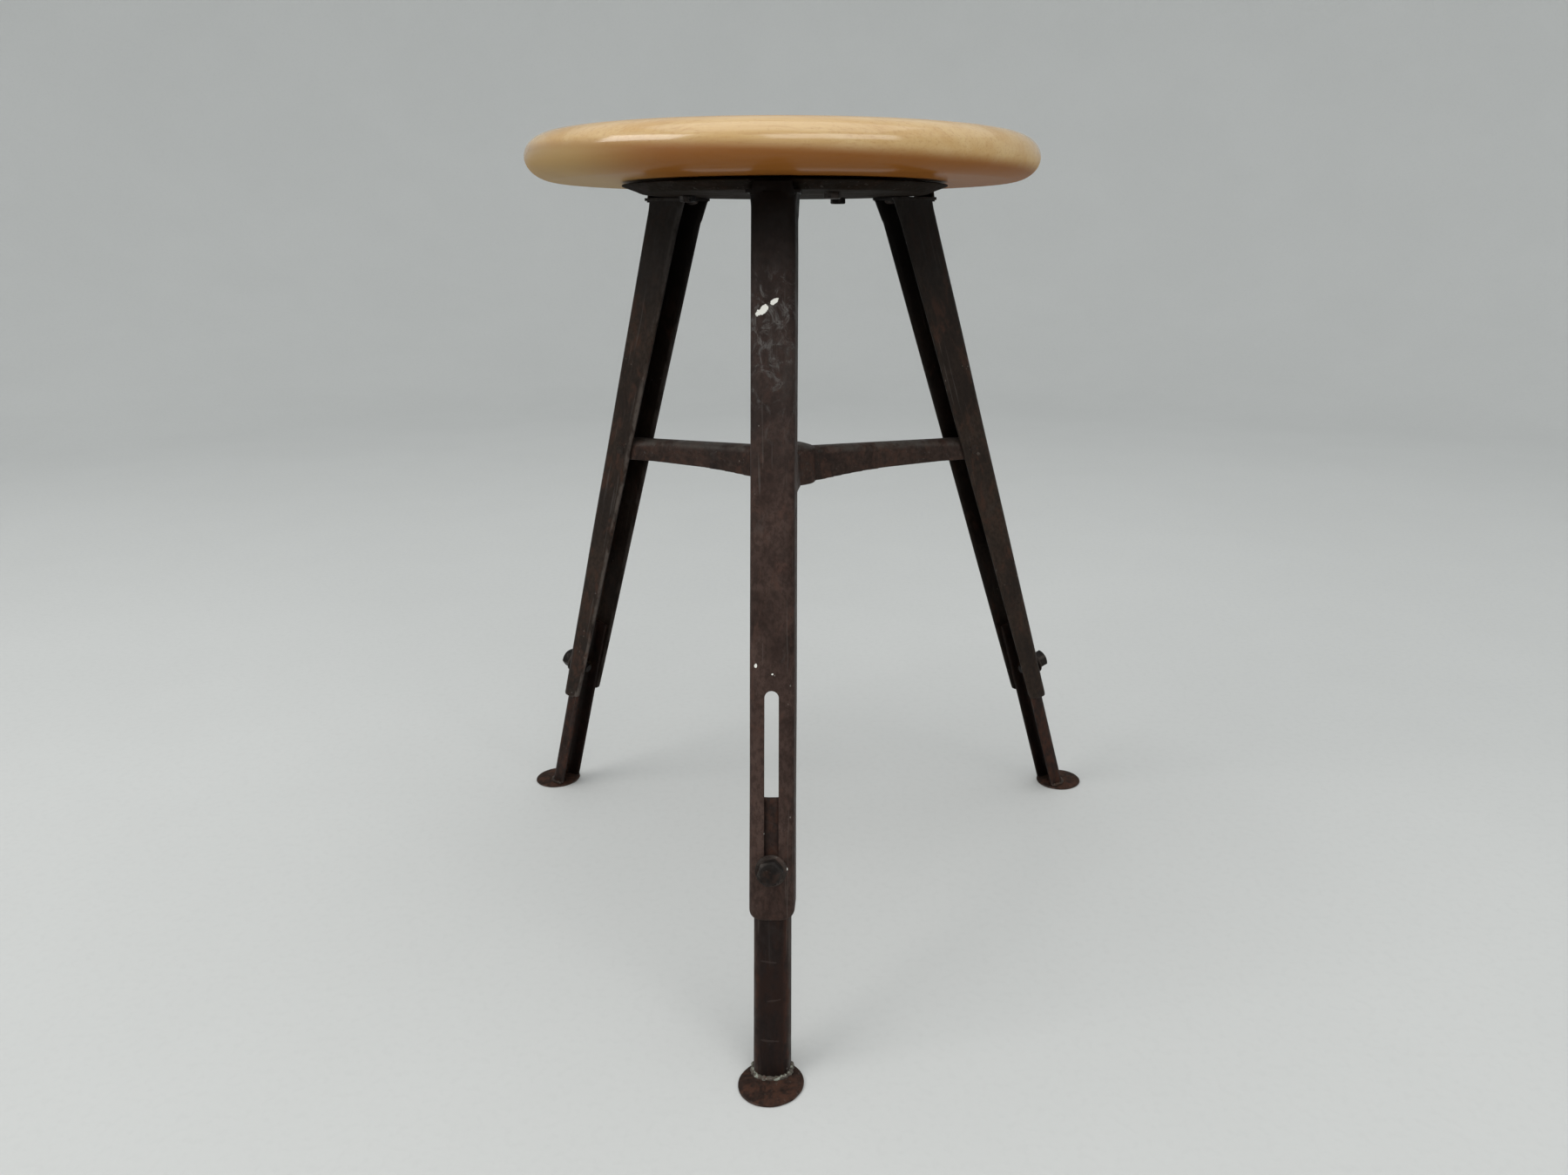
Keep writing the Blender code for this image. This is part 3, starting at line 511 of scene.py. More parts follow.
def lip_corner(turn):
    """Cutter that rounds the bottom corner of one flank where it meets the lip."""
    r, past = LIP_ROUND, 0.004
    half_w, depth, _ = upper_section(level(0.0, UPPER_END_Z))
    y, z = -depth - 0.0012, level(-depth, UPPER_END_Z)
    outline = [(y - 0.002, z - past), (y + r + 0.001, z - past)]
    outline += [(y + r - r * sin(pi / 2 * k / 10), z + r - r * cos(pi / 2 * k / 10)) for k in range(11)]
    outline += [(y - 0.002, z + r)]
    x0, x1 = sorted((turn * past, turn * (half_w + past)))
    return loft([[(x, p, q) for p, q in outline] for x in (x0, x1)])


def end_level(x, y, half_w):
    """Distance along the leg of its bottom edge, which is rounded up at the corners of the web."""
    corner = min(1.0, abs(x) / half_w) ** 6 * max(0.0, 1.0 + y / END_ROUND_D)
    return level(y, UPPER_END_Z) + END_LIFT * corner


def sunk_profile(half, ease, beyond):
    """Half outline of a rivet with a cone at each end, widened by ease, its ends at half + beyond."""
    shank, cone, depth = ARM_RIVET_SHANK + ease, ARM_RIVET_SINK_R + ease, ARM_RIVET_SINK
    return [(0.0, -half - beyond), (cone, -half - beyond), (cone, -half), (shank, depth - half),
            (shank, half - depth), (cone, half), (cone, half + beyond), (0.0, half + beyond)]


def rivet_place(side):
    """Middle of a brace rivet, with Z along it and across the leg."""
    out, _ = radial(SIDES[side])
    return (Matrix.Translation(out * ARM_RIVET_R + Vector((0.0, 0.0, ARM_RIVET_Z)))
            @ Matrix.Rotation(radians(SIDES[side]), 4, "Z") @ Matrix.Rotation(pi / 2, 4, "X"))


def tucked(s, tuck):
    """The upper leg's section with its outer surface drawn in and its inner surface left in place."""
    half_w, depth, rounding = upper_section(s)
    return channel(half_w - tuck, depth - tuck, rounding - tuck, UPPER_T - tuck)


def upper_leg(side, look):
    """Tapering slotted channel, with its flange and lug under and in front of the pan."""
    place = leg_matrix(side)
    low, top = level(0.0, UPPER_END_Z), level(0.0, PAN_Z)
    under = PAN_Z - GAP
    seed = 10.0 * SIDES[side]
    half_w = upper_section(low)[0]
    rings = []
    for up, tuck in END_RIM:
        rings.append([(x, y - tuck, end_level(x, y, half_w) + up) for x, y in tucked(low, tuck)])
    start, stop = low + WAVY_FROM, top - WAVY_TO
    stations = [start + (stop - start) * k / WAVY_STEPS for k in range(WAVY_STEPS + 1)]
    stations += [top - d for d in FLARE_STEPS]
    for s in stations:
        wave = WAVE * min(1.0, (s - low) / WAVE_IN) * min(1.0, max(0.0, (top - s) / WAVE_OUT))
        rings.append([(*dented(x, y, s, seed, wave), s) for x, y in channel(*upper_section(s), UPPER_T)])
    for z in (under - FLANGE_T - SOCKET_LAP, under - FLANGE_T * 0.4):
        rings.append([(x, y, level(y, z)) for x, y in channel(*upper_section(level(0.0, z)), UPPER_T)])
    leg = make("leg_channel_" + side, loft(rings), look, place)
    world = Matrix.Rotation(radians(SIDES[side]), 4, "Z")
    flange = boxed(FLANGE_IN_R, CREST_TOP_R - FLANGE_LAP, -FLANGE_HALF_W, FLANGE_HALF_W,
                   under - FLANGE_T, under)
    for vert in flange.verts:
        if vert.co.x < (FLANGE_IN_R + CREST_TOP_R) / 2:
            vert.co.y *= FLANGE_TAPER
    boolean(leg, flange, "UNION", world)
    lug = boxed(CREST_TOP_R - LUG_T, CREST_TOP_R, -LUG_HALF_W, LUG_HALF_W,
                under - FLANGE_T - LUG_LAP, LUG_TOP_Z)
    for vert in lug.verts:
        if vert.co.z > under:
            vert.co.y *= LUG_TAPER
    boolean(leg, lug, "UNION", world)
    boolean(leg, stadium(SLOT_W / 2, SLOT_LOW, SLOT_TOP, *SLOT_CUT), "DIFFERENCE", place)
    for turn in (-1, 1):
        boolean(leg, lip_corner(turn), "DIFFERENCE", place)
    half = upper_section(level(0.0, ARM_RIVET_Z))[0]
    boolean(leg, turned(sunk_profile(half, RIVET_EASE, CUT), 48), "DIFFERENCE", rivet_place(side))
    soften(leg, UPPER_EDGE)
    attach(leg, "frame")
    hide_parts("upper_leg_" + side)


def lower_leg(side, look):
    """Narrower channel that slides in the upper one, cut level where it stands on its disc."""
    place = leg_matrix(side)
    foot_z = PAD_TOP + GAP
    section = [(x, y + LOWER_BACK) for x, y in
               channel(LOWER_W / 2, LOWER_D, LOWER_ROUND, LOWER_T, LOWER_POWER, 40, 4)]
    rings = [[(x, y, level(y, foot_z)) for x, y in section]]
    start = level(0.0, foot_z) + LOWER_FOOT
    rings += [[(x, y, start + (LOWER_TOP - start) * k / 40) for x, y in section] for k in range(41)]
    leg = make("leg_slider_" + side, loft(rings), look, place)
    hole = place @ Matrix.Rotation(pi / 2, 4, "X")
    boolean(leg, rod(BOLT_R + GAP, -CUT, 2 * CUT), "DIFFERENCE", hole)
    soften(leg, LOWER_EDGE)
    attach(leg, side + "_leg_extension")
    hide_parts("lower_leg_" + side)


def weld_bead(side, look):
    """Rippled fillet weld where the lower leg stands on its disc, following the outside of the channel."""
    place = leg_matrix(side)
    path = [place @ Vector((x, y + LOWER_BACK, level(y + LOWER_BACK, PAD_TOP))) for x, y in
            web_curve(LOWER_W / 2, LOWER_D, LOWER_ROUND, LOWER_POWER, 60, 14)]
    rings = []
    for i, p in enumerate(path):
        ahead = path[min(i + 1, len(path) - 1)] - path[max(i - 1, 0)]
        ahead.z = 0.0
        ahead.normalize()
        outward = Vector((-ahead.y, ahead.x, 0.0))
        # an even ripple from the torch, and slower lumps
        ripple = 1.0 + 0.16 * sin(i * 1.15) + 0.22 * noise.noise(Vector((i * 0.21, SIDES[side], 0.0)))
        end = min(1.0, (min(i, len(path) - 1 - i) + 1) / 4)
        r = WELD_R * ripple * end
        centre = p + outward * WELD_OUT
        turns = [2 * pi * k / WELD_SIDES for k in range(WELD_SIDES)]
        rings.append([centre + outward * (r * 1.05 * cos(a)) + Vector((0.0, 0.0, max(r * sin(a), -WELD_SINK)))
                      for a in turns])
    bead = make("weld_" + side, loft(rings), look)
    shade(bead, 80.0)
    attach(bead, side + "_leg_extension")


def foot(side, look):
    """Round disc, a little crowned, with a rolled and slightly uneven rim."""
    lo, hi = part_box("foot_pad_" + side)
    centre = [(a + b) / 2 for a, b in zip(lo, hi)]
    r, t = (hi[0] - lo[0]) / 2, hi[2]
    # from the middle of the underside, round the rim and up to the crown
    profile = [(0.0, 0.0), (r - 0.0010, 0.0), (r - 0.0003, 0.0002), (r, 0.0007), (r - 0.00005, 0.0011),
               (r - 0.0004, 0.0015), (r - 0.0012, 0.00175), (r * 0.90, 0.0020), (r * 0.82, 0.0024),
               (r * 0.72, 0.0028), (r * 0.62, 0.0031), (r * 0.52, t - 0.0001), (r * 0.42, t), (0.0, t)]

    def wobble(a, rr, z):
        n = noise.noise(Vector((cos(a) * 1.6, sin(a) * 1.6, SIDES[side])))
        edge = max(0.0, (rr / r - 0.8) / 0.2)
        return (-abs(n) * 0.00035 * edge, n * 0.00012 * edge if z > 0.0004 else 0.0)

    place = Matrix.Translation((centre[0], centre[1], 0.0))
    pad = make("foot_disc_" + side, turned(profile, 128, wobble), look, place)
    shade(pad, 50.0)
    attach(pad, side + "_leg_extension")
    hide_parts("foot_pad_" + side)


# ---------------------------------------------------------------- fasteners
def hex_body(af, thick, both_ends, bore=0.0, face=0.96):
    """Hexagonal prism from z 0 to thick, af across its flats. A cone cuts its corners at the top, and at
    the bottom too with both_ends, as on a real bolt head or nut; the flat face is that part of af."""
    count = 6 * HEX_SIDE_STEPS

    def ring(radius, z):
        return [(radius * cos(2 * pi * k / count), radius * sin(2 * pi * k / count), z) for k in range(count)]

    def hex_ring(z, top, chamfered, scale=1.0):
        pts = []
        for k in range(count):
            a = 2 * pi * k / count
            r = af / 2 / cos((a % (pi / 3)) - pi / 6) * scale
            drop = max(0.0, (r - af / 2 * face) * tan(HEX_CONE)) if chamfered else 0.0
            pts.append((r * cos(a), r * sin(a), z - drop if top else z + drop))
        return pts

    inner, flat = bore or 0.0006, af / 2 * (face - 0.005)
    rings = [ring(inner, 0.0)]
    if both_ends:
        rings.append(ring(flat, 0.0))
    rings += [hex_ring(0.0, False, both_ends, HEX_TUCK), hex_ring(HEX_ROLL, False, both_ends),
              hex_ring(thick - HEX_ROLL, True, True), hex_ring(thick, True, True, HEX_TUCK),
              ring(flat, thick), ring(inner, thick)]
    if not bore:
        return loft(rings)
    bm = bmesh.new()
    rows = [[bm.verts.new(p) for p in r] for r in rings]
    for low, high in zip(rows, rows[1:] + rows[:1]):
        for i in range(count):
            j = (i + 1) % count
            bm.faces.new((low[i], low[j], high[j], high[i]))
    return bm


def threaded(r, length):
    """Profile of a threaded shank hanging from z 0, with a chamfered end."""
    root = r - THREAD_DEPTH
    profile = [(0.0, -length), (r - THREAD_DEPTH * 1.4, -length), (root, -length + 0.0005)]
    z = -length + 0.0007
    while z < -THREAD_PITCH:
        profile += [(root, z), (r, z + THREAD_PITCH * 0.45), (r, z + THREAD_PITCH * 0.55)]
        z += THREAD_PITCH
    return profile + [(r, -0.0002), (r, 0.0002), (0.0, 0.0002)]


def hex_bolt(name, af, head_t, shank_r, shank_len, look, place, body, node):
    bolt = make(name, hex_body(af, head_t, False, face=0.84), look, place)
    boolean(bolt, turned(threaded(shank_r, shank_len), 40), "UNION", place)
    shade(bolt, 28.0)
    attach(bolt, body)
    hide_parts(node)


def hex_nut(name, af, thick, bore_r, look, place, body, node):
    nut = make(name, hex_body(af, thick, True, bore_r), look, place)
    shade(nut, 28.0)
    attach(nut, body)
    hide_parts(node)


def washer(name, outer, inner, thick, look, place, body, node):
    e = 0.0003
    bm = turned([(inner, e), (inner + e, 0.0), (outer - e, 0.0), (outer, e), (outer, thick - e),
                 (outer - e, thick), (inner + e, thick), (inner, thick - e)], 72)
    flat = make(name, bm, look, place)
    shade(flat, 60.0)
    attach(flat, body)
    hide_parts(node)


def clamp(side, look, washer_look, nut_look):
    """Bolt and washer in front of the slot and the nut inside the lower leg."""
    leg = leg_matrix(side)
    face = leg @ Matrix.Rotation(-pi / 2, 4, "X")
    head_at = GAP + WASHER_T + GAP
    hex_bolt("clamp_screw_" + side, HEAD_AF, HEAD_T, BOLT_R, head_at + NUT_FROM + NUT_T + BOLT_SPARE, look,
             face @ Matrix.Translation((0, 0, head_at)) @ Matrix.Rotation(radians(CLAMP_TURN[side]), 4, "Z"),
             side + "_clamp_bolt", "clamp_bolt_" + side)
    body = side + "_leg_extension"
    washer("clamp_disc_" + side, WASHER_R, BOLT_R + WASHER_EASE, WASHER_T, washer_look,
           face @ Matrix.Translation((0, 0, GAP)), body, "clamp_washer_" + side)
    hex_nut("clamp_hexnut_" + side, NUT_AF, NUT_T, BOLT_R + GAP, nut_look,
            face @ Matrix.Translation((0, 0, -NUT_FROM - NUT_T)), body, "clamp_nut_" + side)


def brace_rivet(side, look):
    """Rivet across the leg through the end of the brace's arm, sunk flush in both flanks."""
    half = upper_section(level(0.0, ARM_RIVET_Z))[0]

    def wobble(a, r, z):
        uneven = noise.noise(Vector((cos(a) * 1.3, sin(a) * 1.3, z * 90 + SIDES[side])))
        return (0.0, 0.0001 * uneven) if abs(z) > half else (0.0, 0.0)

    rivet = make("arm_rivet_" + side, turned(sunk_profile(half, 0.0, RIVET_PROUD), 48, wobble), look,
                 rivet_place(side))
    shade(rivet, 50.0)
    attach(rivet, "frame")
    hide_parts("brace_rivet_" + side)


# ---------------------------------------------------------------- brace
def arm_top(r):
    """Height of an arm's upper face at distance r from the axis."""
    return ARM_TOP_Z - ARM_FALL * r / ARM_STRAIGHT_R


def arm_bottom(r):
    """Height of an arm's lower edge, which dips towards the boss."""
    drop = ARM_DROP * max(0.0, 1.0 - r / ARM_DROP_R) ** 1.8
    return max(HUB_LOW_Z + 0.0002, ARM_LOW_Z - drop)


def arm_half_width(r):
    """The arm is narrow along its span and widens at its end to fit between the leg's flanks."""
    k = min(1.0, max(0.0, (r - ARM_WIDEN_R) / (ARM_WIDE_R - ARM_WIDEN_R)))
    return ARM_HALF_W + (ARM_END_HALF_W - ARM_HALF_W) * k * k * (3.0 - 2.0 * k)


def arm_solid(angle, shrink):
    """One arm of the brace, or the hollow inside it when shrunk by the sheet's thickness."""
    out, across = radial(angle)
    start, end = 0.004, ARM_END_R - shrink
    straight = end - ARM_TIP_LEN
    reach = [start + (straight - start) * k / 40 for k in range(41)]
    reach += [straight + ARM_TIP_LEN * sin(pi / 2 * k / 8) for k in range(1, 9)]
    rings = []
    for r in reach:
        tip = max(0.0, (r - straight) / ARM_TIP_LEN)
        ease = ARM_TIP_EASE * (1.0 - sqrt(max(0.0, 1.0 - tip * tip)))
        half_w = arm_half_width(r) - shrink - ease
        top = arm_top(r) - shrink - ease
        bottom = arm_bottom(r) if shrink == 0.0 else HOLLOW_LOW_Z
        curve = web_curve(half_w, top - bottom, ARM_ROUND - shrink * 0.7, ARM_POWER, 30, 1)
        rings.append([out * r + across * x + Vector((0.0, 0.0, top + y)) for x, y in curve])
    return loft(rings)


def hub_solid(shrink):
    """The raised round boss where the arms meet, or its hollow."""
    r, crown, top = HUB_R - shrink, HUB_CROWN_R - shrink, HUB_TOP_Z - shrink
    low = HUB_LOW_Z if shrink == 0.0 else HOLLOW_LOW_Z
    return turned([(0.0, low), (r, low), (r, top - HUB_SLOPE - 0.0008), (r - 0.0010, top - HUB_SLOPE),
                   (crown, top - 0.0003), (crown - 0.0020, top), (0.0, top)], 96)


def brace(look):
    """Pressed three-armed spider, hollow underneath; remeshed so that its folds are soft."""
    spider = make("brace_spider", hub_solid(0.0), look)
    hollow = make("hollow", hub_solid(ARM_T), None)
    for angle in SIDES.values():
        boolean(spider, arm_solid(angle, 0.0), "UNION")
        boolean(hollow, arm_solid(angle, ARM_T), "UNION")
    core = bmesh.new()
    core.from_mesh(hollow.data)
    bpy.data.objects.remove(hollow, do_unlink=True)
    boolean(spider, core, "DIFFERENCE")
    mod = spider.modifiers.new("skin", "REMESH")
    mod.mode = "VOXEL"
    mod.voxel_size = BRACE_VOXEL
    smooth = spider.modifiers.new("ease", "SMOOTH")
    smooth.factor = 0.5
    smooth.iterations = BRACE_EASE
    thin = spider.modifiers.new("thin", "DECIMATE")
    thin.ratio = BRACE_KEEP
    bake(spider)
    shade(spider, 75.0)
    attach(spider, "frame")
    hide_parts("leg_brace")


# ---------------------------------------------------------------- seat and pan
def seat(look):
    """Turned board with a bullnose rim, the pivot's recess and the screws' pilot holes."""
    mid, half = (SEAT_Z + SEAT_TOP) / 2, (SEAT_TOP - SEAT_Z) / 2
    steps = 48
    nose = [(SEAT_R - SEAT_NOSE + SEAT_NOSE * cos(a), mid + half * sin(a))
            for a in [(-90 + 180 * k / steps) * pi / 180 for k in range(steps + 1)]]
    recess_top, fillet, edge = SEAT_Z + RECESS_DEPTH, 0.0006, 0.0004
    inside = [(0.0, recess_top), (RECESS_R - fillet, recess_top), (RECESS_R, recess_top - fillet),
              (RECESS_R, SEAT_Z + edge), (RECESS_R + edge, SEAT_Z)]
    under = [(r, SEAT_Z) for r in (0.05, 0.09, SEAT_FLAT_R)]
    over = [(r, SEAT_TOP) for r in (SEAT_FLAT_R, 0.09, 0.05, 0.02)]
    board = make("seat_wood", turned(inside + under + nose + over + [(0.0, SEAT_TOP)], 256), look)
    for angle in SCREW_ANGLES:
        out, _ = radial(angle)
        boolean(board, rod(PILOT_R, SEAT_Z - CUT, SEAT_Z + PILOT_DEPTH, 16), "DIFFERENCE",
                Matrix.Translation(out * SCREW_AT))
    shade(board, 40.0)
    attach(board, "seat")
    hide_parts("seat_board")


def pan(look):
    """Shallow dish: flat floor, soft bend, sloping wall and a rolled rim."""
    rim, bend, t = PAN_TOP - PAN_T, PAN_FLOOR_R, PAN_T
    outside = [(PIVOT_HOLE_R, 0.0), (0.04, 0.0), (0.075, 0.0), (bend - 0.004, 0.0), (bend - 0.0015, 0.00012),
               (bend, 0.0004), (bend + 0.0015, 0.0009), (bend + 0.004, 0.0020)]
    wall = [(bend + 0.008, rim - 0.0012), (PAN_R - 0.0010, rim + 0.0002), (PAN_R - 0.0002, rim + 0.0006),
            (PAN_R, rim + t * 0.6), (PAN_R - 0.0003, rim + t * 0.92), (PAN_R - 0.0009, rim + t),
            (bend + 0.007, rim + t - 0.0013)]
    inside = [(bend + 0.003, 0.0020), (bend, 0.0006), (bend - 0.002, 0.0001), (bend - 0.0045, 0.0),
              (0.05, 0.0), (PIVOT_HOLE_R, 0.0)]
    profile = [(r, PAN_Z + z) for r, z in outside] + wall + [(r, PAN_Z + t + z) for r, z in inside]
    dish = make("pan_dish", turned(profile, 192), look)
    shade(dish, 50.0)
    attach(dish, "frame")
    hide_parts("seat_pan")


# ---------------------------------------------------------------- looks
# In these marks X, Y and Z are a piece's own axes: on a leg Z runs up it from the clamp bolt, and Y is 0
# at the outer face. Bands give where a mark starts and where it is full.
WEB_FRONT = (-0.0060, -0.0045)
# some of these tones are painted light: those for under the seat, the tops of the side legs, the insides of
# the channels and the bolt shanks are painted shade; the slider's dark middle is painted shade and its rubbed
# edges a painted highlight with wear; the brace's grey top is dust with a painted highlight
ABOVE_BRACE, UNDER_SEAT_SHADE, SCUFFED = (0.0130, 0.0105, 0.0100), (0.0026, 0.0018, 0.0014), (0.110, 0.106, 0.102)
SIDE_SHADE, INNER_SHADE, SHANK_SHADE = (0.0030, 0.0022, 0.0018), (0.0034, 0.0018, 0.0013), (0.0042, 0.0026, 0.0020)
MIDDLE_SHADE, RUBBED_AND_HIGHLIT, NICKED = (0.0045, 0.0022, 0.0018), (0.066, 0.054, 0.048), (0.085, 0.066, 0.058)
BLOTCHED, GREYED_AND_HIGHLIT, SLAG = (0.058, 0.0265, 0.0175), (0.076, 0.068, 0.061), (0.36, 0.39, 0.33)
WHITE_PAINT = (0.72, 0.72, 0.68)


def spot(g, centre_x, centre_z, half_x, half_z, lean):
    """1 inside a ragged oval on the leg's outer face, 0 round it."""
    dx = g.minus(g.along("X"), centre_x)
    dz = g.minus(g.along("Z"), centre_z)
    along = g.plus(g.times(dx, cos(lean)), g.times(dz, sin(lean)))
    across = g.minus(g.times(dz, cos(lean)), g.times(dx, sin(lean)))
    near = g.math("SQRT", g.plus(g.math("POWER", g.math("DIVIDE", along, half_x), 2.0),
                                 g.math("POWER", g.math("DIVIDE", across, half_z), 2.0)))
    uneven = g.times(g.minus(g.noise(330.0, 3.0, 0.6), 0.5), 2.0)
    outside = g.band(g.along("Y"), *WEB_FRONT)
    return g.times(g.band(g.plus(near, uneven), 1.08, 0.92), outside)


# ovals on the front leg and its slider: x and z of the middle, half sizes, lean
PAINT = ((0.0056, 0.3378, 0.0044, 0.0021, 2.45), (-0.0013, 0.3428, 0.0028, 0.0015, 2.50),
         (0.0096, 0.1228, 0.0008, 0.0013, 0.2), (-0.0006, 0.1180, 0.0006, 0.0006, 0.0),
         (0.0036, 0.0216, 0.0007, 0.0009, 0.0), (-0.0094, 0.0005, 0.0006, 0.0008, 0.0))
NICKS = ((0.0010, -0.0560, 0.0052, 0.0005, 0.10), (-0.0015, -0.0792, 0.0040, 0.0005, -0.12),
         (0.0008, -0.1034, 0.0058, 0.0006, 0.05))


def front_marks(g, colour):
    """White paint specks and grey scuffs on the front of the leg; the metal darker and greyer above the
    brace, and painted shade, near black, up under the seat.
    """
    z = g.along("Z")
    colour = g.over(colour, g.band(z, 0.225, 0.275), 0.35, ABOVE_BRACE)
    # painted shade, near black, under the seat
    colour = g.over(colour, g.band(z, 0.322, 0.392), 0.92, UNDER_SEAT_SHADE)
    patchy = g.noise(85.0, 8.0, 0.75, g.stretch((1.0, 1.0, 0.8), (4.0, 2.0, 9.0)), 1.8)
    reach = g.times(g.band(z, 0.235, 0.325), g.band(z, 0.368, 0.350))
    scuff = g.times(g.times(g.band(patchy, 0.50, 0.66), reach), g.band(g.along("Y"), *WEB_FRONT))
    colour = g.over(colour, scuff, 0.72, SCUFFED)
    for mark in PAINT:
        colour = g.blend(spot(g, *mark), colour, WHITE_PAINT)
    return colour


def darker_above(g, colour):
    """Painted shade: the metal darkened up under the seat, where the seat shades the leg, and inside the
    channel.
    """
    colour = shaded_inside(UPPER_W_TOP / 2, 0.55)(g, colour)
    return g.over(colour, g.band(g.along("Z"), 0.290, 0.385), 0.75, SIDE_SHADE)


def shaded_inside(half_w, strength):
    """Painted shade: darkens the faces inside a channel that is half_w from its middle to its outer flank."""
    def look(g, colour):
        side = g.math("ABSOLUTE", g.along("X"))
        inside = g.times(g.band(side, half_w - 0.0006, half_w - 0.0013),
                         g.band(g.along("Y"), -0.0050, -0.0070))
        return g.over(colour, inside, strength, INNER_SHADE)
    return look


def nicked(g, colour):
    """Painted shade down the middle of the lower leg's front below the sleeve, painted highlights mixed with
    rubbed wear along its edges, and short scratches across it.
    """
    side = g.math("ABSOLUTE", g.along("X"))
    face = g.band(g.along("Y"), -0.0110, -0.0075)
    middle_shade = g.times(g.times(g.band(side, 0.0098, 0.0058), face), g.band(g.along("Z"), -0.020, -0.036))
    colour = g.over(colour, middle_shade, 0.72, MIDDLE_SHADE)
    rubbed_and_highlit = g.times(g.times(g.band(side, 0.0090, 0.0110), face),
                     g.band(g.noise(60.0, 5.0, 0.65), 0.34, 0.56))
    colour = g.over(colour, rubbed_and_highlit, 0.60, RUBBED_AND_HIGHLIT)
    for mark in NICKS:
        colour = g.over(colour, spot(g, *mark), 0.22, NICKED)
    return colour


def shaded_shank(g, colour):
    """Painted shade, near black, on the shank behind the head, inside the leg."""
    return g.over(colour, g.band(g.along("Z"), -0.004, -0.007), 0.90, SHANK_SHADE)


def greyed_and_highlit_top(g, colour):
    """The upward-facing rounded top of the brace is painted lighter grey, rubbed dust mixed with a painted
    highlight from above; its flanks carry redder blotches of rust.
    """
    facing = g.along("Z", g.node("ShaderNodeNewGeometry").outputs["Normal"])
    blotch = g.band(g.noise(52.0, 6.0, 0.7, g.stretch((1.0, 1.0, 1.6), (2.0, 7.0, 1.0)), 0.9), 0.50, 0.64)
    colour = g.over(colour, blotch, 0.35, BLOTCHED)
    rubbed_and_highlit = g.times(g.band(facing, 0.05, 0.70), g.band(g.noise(70.0, 6.0, 0.7), 0.36, 0.58))
    return g.over(colour, rubbed_and_highlit, 0.62, GREYED_AND_HIGHLIT)


def slaggy(g, colour):
    """Pale flecks of slag and paint along a weld."""
    flecks = g.band(g.noise(330.0, 4.0, 0.65), 0.52, 0.62)
    return g.over(colour, flecks, 0.75, SLAG)


# each steel: darkest tone, middle tone, tone of the rust, how far the rust spreads
dark_steel = steel("patinated_steel", (0.0110, 0.0072, 0.0056), (0.0235, 0.0165, 0.0130),
                   (0.044, 0.0205, 0.0130), 0.45, grey=0.25, seed=1.0, wear=0.25)
side_steel = steel("patinated_steel_sides", (0.0150, 0.0090, 0.0062), (0.0335, 0.0215, 0.0150),
                   (0.046, 0.0215, 0.0135), 0.50, grey=0.30, seed=1.0, extras=darker_above)
# near-black steel for the pan under the seat and the nuts inside the legs: a copy of the steel darkened as
# painted shade
inner_steel = steel("shade_dark_steel", (0.0080, 0.0044, 0.0018), (0.0122, 0.0070, 0.0034),
                    (0.018, 0.0095, 0.0060), 0.40, rough=(0.70, 0.92), grey=0.08, seed=2.0, grain=1.0,
                    shine=0.04, wear=0.0)
front_steel = steel("patinated_steel_front", (0.0280, 0.0160, 0.0125), (0.0650, 0.0405, 0.0335),
                    (0.060, 0.0325, 0.0250), 0.40, grey=0.35, seed=4.0, grain=0.85, extras=front_marks,
                    shine=0.12)
brown_steel = steel("rust_brown_steel", (0.0125, 0.0062, 0.0046), (0.0270, 0.0145, 0.0108),
                    (0.048, 0.0195, 0.0120), 0.85, rough=(0.46, 0.74), seed=7.0,
                    extras=shaded_inside(LOWER_W / 2, 0.75))
brace_steel = steel("rust_brown_brace_steel", (0.0190, 0.0110, 0.0085), (0.0430, 0.0265, 0.0205),
                    (0.054, 0.0275, 0.0195), 0.60, rough=(0.44, 0.70), seed=9.0, grain=1.0,
                    extras=greyed_and_highlit_top)
nicked_steel = steel("rust_brown_steel_nicked", (0.0125, 0.0064, 0.0050), (0.0290, 0.0170, 0.0140),
                     (0.046, 0.0195, 0.0125), 0.80, rough=(0.46, 0.74), seed=7.0, extras=nicked)
foot_steel = steel("rusted_disc_steel", (0.0170, 0.0098, 0.0074), (0.0390, 0.0235, 0.0180),
                   (0.060, 0.0280, 0.0185), 0.85, rough=(0.66, 0.88), seed=11.0, grain=1.0, shine=0.12)
bolt_steel = steel("oxidised_fastener_steel", (0.0036, 0.0025, 0.0022), (0.0085, 0.0060, 0.0052),
                   (0.024, 0.0120, 0.0080), 0.45, rough=(0.46, 0.70), grey=0.15, seed=15.0, grain=1.0,
                   extras=shaded_shank, shine=0.14, wear=0.35)
flush_steel = steel("flush_rivet_steel", (0.0115, 0.0076, 0.0058), (0.0290, 0.0200, 0.0154),
                    (0.042, 0.0200, 0.0130), 0.45, grey=0.25, seed=1.0, wear=0.0)
plain_steel = steel("dull_bare_steel", (0.20, 0.19, 0.18), (0.32, 0.31, 0.29), (0.16, 0.085, 0.05), 0.35,
                    rough=(0.30, 0.52), grey=0.1, seed=19.0, grain=1.0)
weld_steel = steel("weld_steel", (0.036, 0.027, 0.022), (0.105, 0.098, 0.080), (0.070, 0.036, 0.024), 0.5,
                   rough=(0.5, 0.8), grey=0.6, seed=23.0, grain=1.0, extras=slaggy)
brown_weld = steel("weld_steel_browned", (0.020, 0.0125, 0.0095), (0.058, 0.043, 0.033),
                   (0.062, 0.031, 0.020), 0.6, rough=(0.55, 0.82), grey=0.5, seed=23.0, grain=1.0)
wood = lacquered_wood("clear_lacquered_hardwood")

